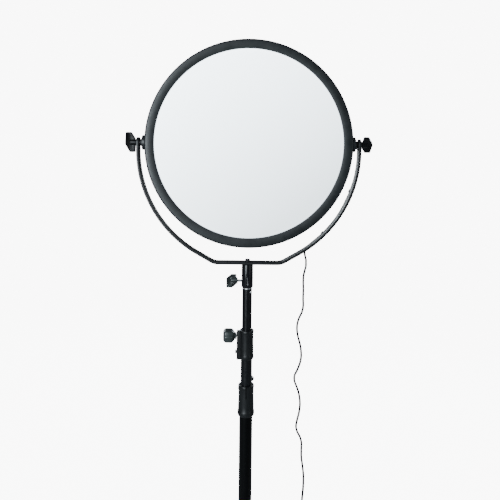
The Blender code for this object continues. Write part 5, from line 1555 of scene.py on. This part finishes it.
    def bushes(self) -> None:
        """Nylon spacers between the head's bosses and the arms."""
        low, high = BOSS_FACE + GAP, ARM_REACH - ARM_THICKNESS / 2 - GAP
        inner, outer, middle, waist = self.screw_hole, self.bush_radius, (low + high) / 2, self.bush_waist
        profile = [
            (inner, low), (outer - 0.0005, low), (outer, low + 0.0005), (outer, middle - waist),
            (outer - waist, middle), (outer, middle + waist), (outer, high - 0.0005), (outer - 0.0005, high),
            (inner, high),
        ]
        for name, side in (("right", 1), ("left", -1)):
            bush = dressed(lathe(f"tilt_spacer_{name}", profile, 48, closed=True), CLIP_PLASTIC)
            placed(bush, FRONT_VIEW @ turn(90 * side, "Y"), "yoke", f"tilt_bush_{name}")

    def lead_clips(self) -> None:
        """The two saddles that hold the lead behind the bar."""
        for name, index in self.clips:
            spots = ((x, z - TILT_HEIGHT, -y) for x, y, z in Lead.yoke_run[index - 1 : index + 2])
            before, at, after = map(Vector, spots)
            along = before - after
            heading = Matrix.Rotation(math.atan2(-along.x, along.y), 4, "Z")
            clip = saddle(f"{name}_moulded", -at.z - self.width / 2 - GAP)
            place = FRONT_VIEW @ Matrix.Translation(at) @ heading @ turn(-90, "X")
            placed(clip, place, "yoke", name)


# Knobs


@dataclass
class Knobs:
    """The clamp knobs, drawn along +Z away from what they clamp."""

    wing_reach: float = 0.0235
    wing_thickness: float = 0.0085
    wing_length: float = 0.0265
    hub_radius: float = 0.0072
    insert_radius: float = 0.0046
    wing_outline: tuple[Point, ...] = (
        (1.0, 0.47), (1.0, 0.90), (0.93, 0.955), (0.3, 0.985), (-0.10, 1.0), (-0.20, 0.985), (-0.86, 0.64),
        (-0.95, 0.56), (-0.95, 0.18), (-0.88, 0.14), (-0.3, 0.12), (0.35, 0.12), (0.50, 0.18), (0.92, 0.42),
    )
    hub_outline: tuple[Point, ...] = ((1.0, 0.30), (0.96, 0.5), (0.90, 0.58), (0.80, 0.62))
    lobed_radius: float = 0.0167
    lobed_length: float = 0.026
    neck: Point = (0.0075, 0.0032)
    lobes: int = 8
    lobe_depth: float = 0.0016
    grip_rings: tuple[Point, ...] = (
        (0.05, 0.68), (0.14, 0.86), (0.23, 0.96), (0.32, 1.0), (0.72, 1.0), (0.82, 0.97), (0.91, 0.87),
        (0.975, 0.73), (1.0, 0.60),
    )
    grip_foot: float = 0.56
    screw_radius: float = 0.003
    screw_pitch: float = 0.0010
    thread_depth: float = 0.0003
    tilt_screw_end: float = 0.2354
    receiver_standoff: float = 0.008
    washer: float = 0.0012

    def build(self) -> None:
        """Make the six knobs and put each on its screw."""
        arm_face = ARM_REACH + ARM_THICKNESS / 2 + GAP
        # The tilt knobs wear the darker knob plastic: painted shade.
        for name, side, degrees in (("tilt_knob_right", 1, 320), ("tilt_knob_left", -1, 90)):
            place = FRONT_VIEW @ shift(side * arm_face) @ turn(90 * side, "Y") @ turn(degrees)
            knob = self.wing(name, arm_face - self.tilt_screw_end, PAINTED_SHADE_KNOB_MOULDING)
            placed(knob, place, name, name)
        column, tripod = Column(), Tripod()
        faces = [column.lug_face(radius) for radius in (column.middle_radius, column.main_radius)]
        leg_screw = (tripod.pivot_height, tripod.knob_azimuth)
        standoff = RECEIVER_RADIUS + self.receiver_standoff
        stand_knobs = (
            ("receiver_knob", self.wing, standoff, 0.0146, (CLAMP_HEIGHT, 180), 72),
            ("upper_collar_knob", self.lobed, faces[0], 0.0117, column.upper_screw, 0),
            ("middle_collar_knob", self.wing, faces[1], 0.0117, column.middle_screw, 45),
            ("leg_collar_knob", self.lobed, tripod.boss_face, 0.0095, leg_screw, 0),
        )
        for name, make, face, reach, (height, azimuth), degrees in stand_knobs:
            place = STAND @ turn(azimuth) @ shift(face + GAP, 0, height) @ OUTWARD @ turn(degrees)
            placed(make(name, reach - GAP), place, name, name)

    def screw(self, length: float, top: float) -> Piece:
        """A plated screw with the ridges of its thread.

        Args:
            length: how far it reaches past the knob's face.
            top: where it ends inside the knob.

        Returns:
            The screw, along -Z.
        """
        pitch, root = self.screw_pitch, self.screw_radius - self.thread_depth
        profile = [(self.screw_radius - 0.0008, -length)]
        for index in range(max(2, int(length / pitch))):
            low = -length + 0.0003 + index * pitch
            profile += [(root, low), (self.screw_radius, low + pitch / 2)]
        return dressed(lathe("screw", [*profile, (root, top)], 20), STEEL, 25)

    def wing(self, name: str, screw_length: float, plastic: Finish = PAINTED_LIGHT_KNOB_MOULDING) -> Piece:
        """A skewed T with moulded pockets, on a round hub with a plated insert.

        Args:
            name: the knob's name.
            screw_length: how far its screw reaches past its face.
            plastic: the moulding's finish; by default the lightened knob plastic, which carries painted
                light.

        Returns:
            The knob, drawn along +Z.
        """
        length, base, half, radius = self.wing_length, 2 * GAP, self.wing_thickness / 2, self.hub_radius
        outline = [(self.wing_reach * x, length * y) for x, y in self.wing_outline]
        wings = plate(f"{name}_moulded", outline, -half, half)
        rolled(wings, lambda a, b: abs(a.z - b.z) > half, 0.0016, 4, clamp=True)
        open_mesh(wings)
        pick(wings, "FACE", lambda middle, normal: abs(normal.z) > 0.9)
        bpy.ops.mesh.inset(thickness=0.0021, depth=-0.0011, use_individual=True)
        close_mesh()
        moved(eased(wings, 0.0007, 3, 50), LEVEL)
        profile = [(radius - 0.0006, base), (radius, base + 0.0006)]
        profile += [(radius * x, length * y) for x, y in self.hub_outline]
        hub = lathe("hub", profile, 40)
        insert = rod("insert", self.insert_radius, base - 0.0002, base + 0.0008, 24, 0.0002)
        for part, finish in ((wings, plastic), (hub, plastic), (insert, STEEL)):
            dressed(part, finish, 40)
        return joined(wings, hub, insert, self.screw(screw_length, base))

    def lobed(self, name: str, screw_length: float) -> Piece:
        """A round grip with soft lobes and a recessed cap, on a neck with a washer.

        Args:
            name: the knob's name.
            screw_length: how far its screw reaches past its face.

        Returns:
            The knob, drawn along +Z.
        """
        radius, low, share = self.neck[0], self.neck[1] + self.washer, self.grip_foot
        level = low + self.grip_rings[0][0] * self.lobed_length
        outline = wavy(self.lobed_radius, self.lobe_depth, self.lobes, 14)
        grip = plate(f"{name}_moulded", [(share * x, share * y) for x, y in outline], low, level)
        open_mesh(grip)
        for index, (height, size) in enumerate(self.grip_rings):
            pick(grip, "FACE", lambda middle, normal: normal.z > 0.9 and middle.z > level - 0.0001)
            if index:
                rise = low + height * self.lobed_length - level
                bpy.ops.mesh.extrude_region_move(TRANSFORM_OT_translate={"value": (0, 0, rise)})
                level += rise
            ratio = size / share
            bpy.ops.transform.resize(value=(ratio, ratio, 1), center_override=(0, 0, level))
            share = size
        bpy.ops.mesh.inset(thickness=0.0007, depth=-0.0012)
        close_mesh()
        neck = rod("neck", radius, self.washer / 2, low + 0.001, 40, 0.0004)
        washer = rod("washer", radius + 0.0008, GAP, self.washer, 40, 0.0003)
        # The grip and neck wear the lightened knob plastic: painted light.
        for part, finish in ((grip, PAINTED_LIGHT_KNOB_MOULDING), (neck, PAINTED_LIGHT_KNOB_MOULDING), (washer, STEEL)):
            dressed(part, finish, 40)
        return joined(grip, neck, washer, self.screw(screw_length, self.washer))


# Column


@dataclass
class Column:
    """The stud, the telescopic tubes and their clamp collars."""

    top_radius: float = 0.011
    middle_radius: float = 0.013
    main_radius: float = 0.015
    wall: float = 0.0012
    riser_length: float = 0.82
    top_riser_height: float = 1.1507
    shoulder: float = 1.1540
    stud_radius: float = 0.008
    rivet_height: float = 1.1443
    rivet_azimuth: float = -46.0
    rivet_hole: float = 0.0018
    upper_collar: Point = (0.9910, 0.067)
    middle_collar: Point = (0.8640, 0.070)
    upper_screw: Point = (1.0435, 180.0)
    middle_screw: Point = (0.919, 90.0)
    seat_share: float = 0.55
    collar_wall: float = 0.0024
    bead: float = 0.0008
    flare: float = 0.0010
    lug_reach: float = 0.0082
    lug_width: float = 0.015
    slit: float = 0.002
    bolt_rise: float = 0.0164
    bolt_radius: float = 0.003
    tube_foot: float = 0.075
    sides: int = 72

    def build(self) -> None:
        """Make the column from the top down."""
        self.stud()
        self.rivet()
        self.tubes()
        narrow, wide = (self.middle_radius, self.top_radius), (self.main_radius, self.middle_radius)
        self.collar("upper_collar", "middle_section", self.upper_collar, narrow, self.upper_screw)
        self.collar("middle_collar", "base", self.middle_collar, wide, self.middle_screw)
        self.end_cap()

    def rivet_at(self) -> Matrix:
        """The rivet's height and direction on the stand's axis."""
        return turn(self.rivet_azimuth) @ shift(z=self.rivet_height)

    def seat(self, collar: Point) -> float:
        """Height of the step inside a collar, where the wider tube ends."""
        return collar[0] + self.seat_share * collar[1]

    def lug_face(self, radius: float) -> float:
        """Distance from the axis to the face of the lug of a collar on a tube of this radius."""
        return radius + GAP + self.collar_wall / 2 + self.lug_reach

    def tubes(self) -> None:
        """The drawn tubes with eased ends; the top one has its rivet's hole."""
        run, ease, top = self.riser_length, 0.0003, self.top_riser_height
        middle, main = self.seat(self.upper_collar), self.seat(self.middle_collar)
        # The main tube wears the darker lacquer: painted shade.
        for name, node, body, paint, (radius, low, high) in (
            ("riser_top_tube", "top_riser", "top_section", TUBE_PAINT, (self.top_radius, top - run, top)),
            (
                "riser_middle_tube", "middle_riser", "middle_section", TUBE_PAINT,
                (self.middle_radius, middle - run, middle),
            ),
            ("stand_main_tube", "main_tube", "base", PAINTED_SHADE_TUBE_LACQUER, (self.main_radius, self.tube_foot, main)),
        ):
            inner = radius - self.wall
            profile = [
                (inner, low + ease), (inner + ease, low), (radius - ease, low), (radius, low + ease),
                (radius, high - ease), (radius - ease, high), (inner + ease, high), (inner, high - ease),
            ]
            tube = lathe(name, profile, self.sides, closed=True)
            if node == "top_riser":
                carved(tube, bored(self.rivet_hole, 0.001, 2 * radius, self.rivet_at(), 20))
            placed(dressed(tube, paint), STAND, body, node)

    def stud(self) -> None:
        """The steel stud with its waist, on the top riser."""
        foot, low, step = self.top_riser_height - 0.025, self.top_riser_height + GAP, self.shoulder
        bore, rim, radius = self.top_radius - self.wall - GAP, self.top_radius, self.stud_radius
        waist, at, top = self.stud_radius - 0.0015, CLAMP_HEIGHT, STUD_TOP
        profile = [
            (bore - 0.0004, foot), (bore, foot + 0.0004), (bore, low), (rim - 0.0003, low),
            (rim, low + 0.0003), (rim, step - 0.0005), (rim - 0.0005, step), (radius, step),
            (radius, at - 0.008), (waist + 0.0004, at - 0.0056), (waist, at - 0.0045),
            (waist, at + 0.0045), (waist + 0.0004, at + 0.0056), (radius, at + 0.008),
            (radius, top - 0.0015), (radius - 0.0005, top - 0.0004), (radius - 0.0015, top),
        ]
        stud = dressed(lathe("stand_stud_turned", profile, self.sides), STEEL, 25)
        carved(stud, bored(self.rivet_hole, rim - 0.0053, 2 * rim, self.rivet_at(), 20))
        placed(stud, STAND, "top_section", "stand_stud")

    def rivet(self) -> None:
        """The domed rivet through the riser into the stud."""
        face = self.top_radius
        under = face + GAP / 2
        profile = [
            (0.0015, face - 0.005), (0.0015, under), (0.0025, under), (0.0025, face + 0.0004),
            (0.0021, face + 0.0009), (0.0013, face + 0.0012), (0.0005, face + 0.0013),
        ]
        rivet = dressed(lathe("stud_rivet_domed", profile, 24), STEEL, 40)
        placed(rivet, STAND @ self.rivet_at() @ OUTWARD, "top_section", "stud_rivet")

    def collar(self, node: str, body: str, place: Point, radii: Point, screw: Point) -> None:
        """A moulded clamp collar with beads, a lug, a slit and its fixing bolt.

        Args:
            node: the CAD node that it stands for.
            body: the body that it moves with.
            place: its foot's height and its length.
            radii: radius of the tube that it sits on and of the one that it clamps.
            screw: height of its clamp screw, and its direction in degrees.
        """
        low, high, seat = place[0], sum(place), self.seat(place)
        (lower, upper), (screw_at, azimuth) = radii, screw
        wall = lower + self.collar_wall
        bead = wall + self.bead
        foot = bead + (self.flare if node == "middle_collar" else 0.0)
        profile = [
            (foot - 0.0030, low), (foot - 0.0018, low + 0.0006), (foot - 0.0005, low + 0.0028),
            (foot, low + 0.0045), (foot, low + 0.0100), (foot - 0.0003, low + 0.0112),
            ((wall + foot) / 2 - 0.0002, low + 0.0130),
            ((2 * wall + foot) / 3, low + 0.0240), (wall, low + 0.0400), (wall, high - 0.0080),
            (wall + 0.0001, high - 0.0073), (bead - 0.0001, high - 0.0062), (bead, high - 0.0056),
            (bead, high - 0.0022), (bead - 0.0005, high - 0.0009), (bead - 0.0018, high),
        ]
        collar = lathe(f"{node}_moulded", profile, self.sides)
        face, depth = self.lug_face(lower), self.lug_reach + 2 * self.collar_wall
        lug = eased(block("lug", (depth, self.lug_width), 0.003, low + 0.0004, high - 0.0035), 0.0008, 3, 50)
        combined(collar, "UNION", [moved(lug, shift(face - depth / 2))])
        back, side, bolt_at, beyond = -0.06, self.slit / 2, low + self.bolt_rise, 0.06
        slit = [(back, -side), (0, -side), (0, side), (back, side)]
        cutters = [
            rod("bore", lower + GAP, low - 0.01, seat + GAP, self.sides),
            rod("bore", upper + GAP, seat - GAP, high + 0.01, self.sides),
            plate("slit", slit, seat + 0.004, high + 0.01),
            bored(SCREW_HOLE, upper, beyond, shift(z=screw_at)),
            bored(SCREW_HOLE, lower, beyond, shift(z=bolt_at)),
        ]
        dressed(moved(carved(collar, *cutters), turn(azimuth)), COLLAR_PLASTIC, 30)
        placed(collar, STAND, body, node)
        profile = [
            (0.0040, GAP), (0.0044, GAP + 0.0004), (0.0044, 0.0026), (0.0040, 0.0033), (0.0030, 0.0034),
            (0.0024, 0.0034), (0.0021, 0.0028),
        ]
        head = lathe(f"{node}_fixing", profile, 6)
        shank = rod("shank", self.bolt_radius, lower + GAP - face, 2 * GAP, 20)
        place = STAND @ turn(azimuth) @ shift(face, 0, bolt_at) @ OUTWARD
        placed(dressed(joined(head, shank), STEEL, 25), place, body, f"{node}_bolt")

    def end_cap(self) -> None:
        """The plug in the main tube's foot."""
        foot, radius = self.tube_foot, self.main_radius
        spigot = radius - self.wall - GAP
        profile = [
            (radius - 0.0040, foot - 0.0060), (radius - 0.0022, foot - 0.0056),
            (radius - 0.0006, foot - 0.0042), (radius, foot - 0.0030), (radius, foot - GAP),
            (spigot, foot - GAP), (spigot, foot + 0.009), (spigot - 0.001, foot + 0.010),
        ]
        cap = dressed(lathe("main_tube_plug", profile, self.sides), CLIP_PLASTIC)
        placed(cap, STAND, "base", "tube_end_cap")


# Tripod


@dataclass
class Tripod:
    """The sliding leg collar, the legs with their feet, and the braces."""

    azimuths: tuple[float, ...] = (90.0, 210.0, 330.0)
    lean: float = 43.0
    pivot_height: float = 0.47
    pivot_radius: float = 0.033
    tube_radius: float = Column.main_radius
    leg_radius: float = 0.0095
    leg_wall: float = 0.0010
    leg_length: float = 0.610
    eye_width: float = 0.0134
    eye_radius: float = 0.0075
    eye_length: float = 0.014
    pin_radius: float = 0.003
    ear_thickness: float = 0.003
    ear_radius: float = 0.0085
    collar_radius: float = 0.0205
    collar_length: float = 0.040
    knob_azimuth: float = 150.0
    boss_face: float = 0.0245
    boss_radius: float = 0.0085
    boss_hole: float = 0.0034
    brace_on_leg: float = 0.300
    brace_offset: float = 0.012
    lug_length: float = 0.026
    flange: float = 0.002
    brace_width: float = 0.014
    side_clearance: float = 0.001
    web_margin: float = 0.030
    brace_height: float = 0.100
    brace_pivot: float = 0.024
    brace_collar_radius: float = 0.018
    brace_collar_length: float = 0.030
    brace_lug: Point = (0.0065, 0.020)
    brace_hole: float = 0.0036
    foot_radius: float = 0.017
    foot_length: float = 0.065
    foot_beyond: float = 0.030
    sides: int = 64

    def build(self) -> None:
        """Make the collars, then one leg, foot and brace, and copy them round."""
        self.leg_collar()
        self.brace_collar()
        leg, foot, brace = self.leg(), self.foot(), self.brace()
        leg_on = shift(self.pivot_radius, 0, self.pivot_height) @ turn(-self.lean, "Y")
        brace_lean = math.degrees(self.brace_line()[1])
        brace_on = shift(self.brace_pivot, 0, self.brace_height) @ turn(brace_lean, "Y")
        for number, azimuth in enumerate(self.azimuths, 1):
            at, body, link = STAND @ turn(azimuth), f"leg_{number}", f"brace_{number}"
            placed(copied(leg, f"leg_tube_{number}"), at @ leg_on, body, body)
            shoe = self.stood(moved(copied(foot, f"rubber_foot_{number}"), at @ leg_on))
            placed(shoe, shift(), body, f"foot_{number}")
            placed(copied(brace, f"brace_channel_{number}"), at @ brace_on, link, link)
        for pattern in (leg, foot, brace):
            bpy.data.objects.remove(pattern)

    def stood(self, shoe: Piece) -> Piece:
        """Cut a foot flat where it stands on the floor.

        Args:
            shoe: the foot.

        Returns:
            The same foot.
        """
        open_mesh(shoe)
        bpy.ops.mesh.bisect(plane_co=(0, 0, 0.00002), plane_no=(0, 0, -1), use_fill=True, clear_outer=True)
        close_mesh()
        return dressed(shoe, RUBBER)

    def lobe(self, name: str, base: float, pivot: float, radius: float, width: float) -> Piece:
        """A plate in the X-Z plane with a round end.

        Args:
            name: the piece's name.
            base: x of its straight end.
            pivot: x of the round end's centre.
            radius: the round end's radius.
            width: its thickness along Y.

        Returns:
            The plate.
        """
        outline = [(base, -radius), *arc((pivot, 0), radius, -math.pi / 2, math.pi / 2, 20), (base, radius)]
        piece = eased(plate(name, outline, -width / 2, width / 2), min(0.0006, width / 5), 2, 50)
        return moved(piece, LEVEL)

    def pin(self, width: float, x: float = 0.0, z: float = 0.0) -> Piece:
        """A steel pin of the width along Y, about (x, z)."""
        pin = rod("pin", self.pin_radius, -width / 2, width / 2, 32, 0.0003)
        return dressed(moved(pin, shift(x, 0, z) @ LEVEL), STEEL, 40)

    def leg_collar(self) -> None:
        """The sliding collar: sleeve, three pairs of ears with pins, and the knob's boss."""
        bore, half, radius = self.tube_radius + GAP, self.collar_length / 2, self.collar_radius
        offset, knob_at = self.eye_width / 2 + GAP + self.ear_thickness / 2, turn(self.knob_azimuth)
        profile = [
            (bore, -half), (radius - 0.0008, -half), (radius, 0.0008 - half), (radius, half - 0.0032),
            (radius - 0.0006, half - 0.0014), (radius - 0.0018, half - 0.0003),
            (radius - 0.003, half), (bore, half),
        ]
        collar = lathe("leg_collar_moulded", profile, self.sides, closed=True)
        others, pins = [], []
        for azimuth in self.azimuths:
            for side in (1, -1):
                ear = self.lobe("ear", bore + GAP, self.pivot_radius, self.ear_radius, self.ear_thickness)
                others.append(moved(ear, turn(azimuth) @ shift(y=side * offset)))
            pin = self.pin(2 * offset + self.ear_thickness + 0.002, self.pivot_radius)
            pins.append(moved(pin, turn(azimuth)))
        hole, rim, low, high = self.boss_hole, self.boss_radius, bore + 0.002, self.boss_face
        profile = [(hole, low), (rim, low), (rim, high - 0.0008), (rim - 0.0008, high), (hole, high)]
        others.append(moved(lathe("boss", profile, 40, closed=True), knob_at @ OUTWARD))
        carved(collar, bored(SCREW_HOLE, bore - 0.001, 0.05, knob_at))
        collar = joined(dressed(joined(collar, *others), COLLAR_PLASTIC, 30), *pins)
        placed(collar, STAND @ shift(z=self.pivot_height), "leg_slider", "leg_collar")

    def brace_collar(self) -> None:
        """The fixed collar at the tube's foot, with a bored lug for each brace."""
        bore, half, radius = self.tube_radius + GAP, self.brace_collar_length / 2, self.brace_collar_radius
        profile = [
            (bore, -half), (radius - 0.0006, -half), (radius, 0.0006 - half), (radius, half - 0.0006),
            (radius - 0.0006, half), (bore, half),
        ]
        collar = lathe("brace_collar_moulded", profile, self.sides, closed=True)
        lugs = []
        for azimuth in self.azimuths:
            lug = self.lobe("lug", bore + GAP, self.brace_pivot, *self.brace_lug)
            hole = moved(rod("hole", self.brace_hole, -0.02, 0.02, 24), shift(self.brace_pivot) @ LEVEL)
            lugs.append(moved(carved(lug, hole), turn(azimuth)))
        dressed(joined(collar, *lugs), COLLAR_PLASTIC, 30)
        placed(collar, STAND @ shift(z=self.brace_height), "base", "brace_collar")

    def leg(self) -> Piece:
        """A leg along -Z from its pivot: pressed eye, tube open at its foot, brace lug and pin.

        Returns:
            The leg, with its pivot at the origin.
        """
        top, foot, radius = -self.eye_length, -self.leg_length, self.leg_radius
        inner = radius - self.leg_wall
        profile = [
            (radius - 0.0030, top), (radius - 0.0012, top - 0.0006), (radius - 0.0003, top - 0.0022),
            (radius, top - 0.0045), (radius, foot + 0.0003), (radius - 0.0003, foot), (inner, foot),
            (inner, top - 0.012),
        ]
        tube = lathe("leg_pattern", profile, 48)
        eye = moved(self.lobe("eye", top - 0.004, 0, self.eye_radius, self.eye_width), turn(-90, "Y"))
        carved(eye, moved(rod("hole", self.pin_radius + 2 * GAP, -0.02, 0.02), LEVEL))
        root, tip = self.leg_wall / 2 - radius, -self.brace_offset
        at, half = -self.brace_on_leg, self.lug_length / 2
        outline = [
            (root, at - half), (root, at + half), (tip - 0.001, at + half / 2), (tip - 0.004, at + 0.002),
            (tip - 0.004, at - 0.002), (tip - 0.001, at - half / 2),
        ]
        side = 0.6 * radius
        lug = moved(eased(plate("lug", outline, -side, side), 0.0008, 3, 30), LEVEL)
        dressed(joined(tube, eye, lug), TUBE_PAINT, 30)
        return joined(tube, self.pin(2 * (radius + self.side_clearance - GAP), tip, at))

    def foot(self) -> Piece:
        """A rubber cap with three grooves, to be cut flat where it stands.

        Returns:
            The cap, in the leg's place.
        """
        radius, bore, low = self.foot_radius, self.leg_radius + GAP, -self.leg_length - self.foot_beyond
        high, waist = low + self.foot_length, radius - 0.0009
        profile = [(radius - 0.0030, low), (waist, low + 0.0009), (radius, low + 0.0030)]
        for rise in (0.034, 0.040, 0.046):
            at = low + rise
            profile += [(radius, at), (waist, at + 0.0004), (waist, at + 0.0016), (radius, at + 0.0020)]
        profile += [
            (radius, high - 0.0030), (waist, high - 0.0009), (radius - 0.0030, high), (bore, high),
            (bore, -self.leg_length - GAP),
        ]
        return dressed(lathe("foot_pattern", profile, 64), RUBBER)

    def brace_line(self) -> Point:
        """Find where a brace runs, from its lower pivot to the leg's lug.

        Returns:
            Its length and its lean from upright in radians.
        """
        lean, along, aside = math.radians(self.lean), self.brace_on_leg, self.brace_offset
        run = self.pivot_radius + along * math.sin(lean) - aside * math.cos(lean) - self.brace_pivot
        rise = self.pivot_height - along * math.cos(lean) - aside * math.sin(lean) - self.brace_height
        return math.hypot(run, rise), math.atan2(run, rise)

    def brace(self) -> Piece:
        """A pressed channel whose flanges straddle the leg, with its pin and rivet heads.

        Returns:
            The brace along +Z, with its lower pivot at the origin.
        """
        length, sheet, half = self.brace_line()[0], self.flange, self.brace_width / 2
        inside = self.leg_radius + self.side_clearance
        outside, edge, inner = inside + sheet, inside + 0.001, 0.002 - half
        outline = arc((0, length), half, 0, math.pi, 16) + arc((0, 0), half, math.pi, math.tau, 16)
        flanges, heads = [], []
        for side in (1, -1):
            flange = eased(plate("flange", outline, -sheet / 2, sheet / 2), 0.0004, 2, 50)
            flanges.append(moved(flange, shift(y=side * (inside + sheet / 2)) @ LEVEL))
        outline = [(-half, -edge), (inner, -edge), (inner, edge), (-half, edge)]
        web = eased(plate("web", outline, self.web_margin, length - self.web_margin), 0.0003, 1, 50)
        channel = dressed(joined(web, *flanges), TUBE_PAINT, 30)
        channel.name = "brace_pattern"
        top = outside + 0.0012
        profile = [(0.0045, outside - 0.0004), (0.0045, top - 0.0008), (0.0036, top - 0.0002), (0.0018, top)]
        for side in (1, -1):
            head = moved(lathe("head", profile, 32), shift(z=length) @ turn(-90 * side, "X"))
            heads.append(dressed(head, STEEL, 40))
        return joined(channel, self.pin(2 * outside + 0.002), *heads)


def carry_over() -> None:
    """Give the CAD nodes that stay their finishes."""
    for node, finish in CARRIED_OVER.items():
        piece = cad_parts[node]
        for place in piece.material_slots:
            place.material = finish.material()
        LOG.info("%s keeps its CAD mesh", node)


def main() -> None:
    """Build the studio and each sub-assembly in turn."""
    logging.basicConfig(level=logging.INFO, format="%(message)s")
    for part in (Studio, Lead, LightHead, Yoke, Knobs, Column, Tripod):
        part().build()
    carry_over()


if __name__ == "__main__":
    main()
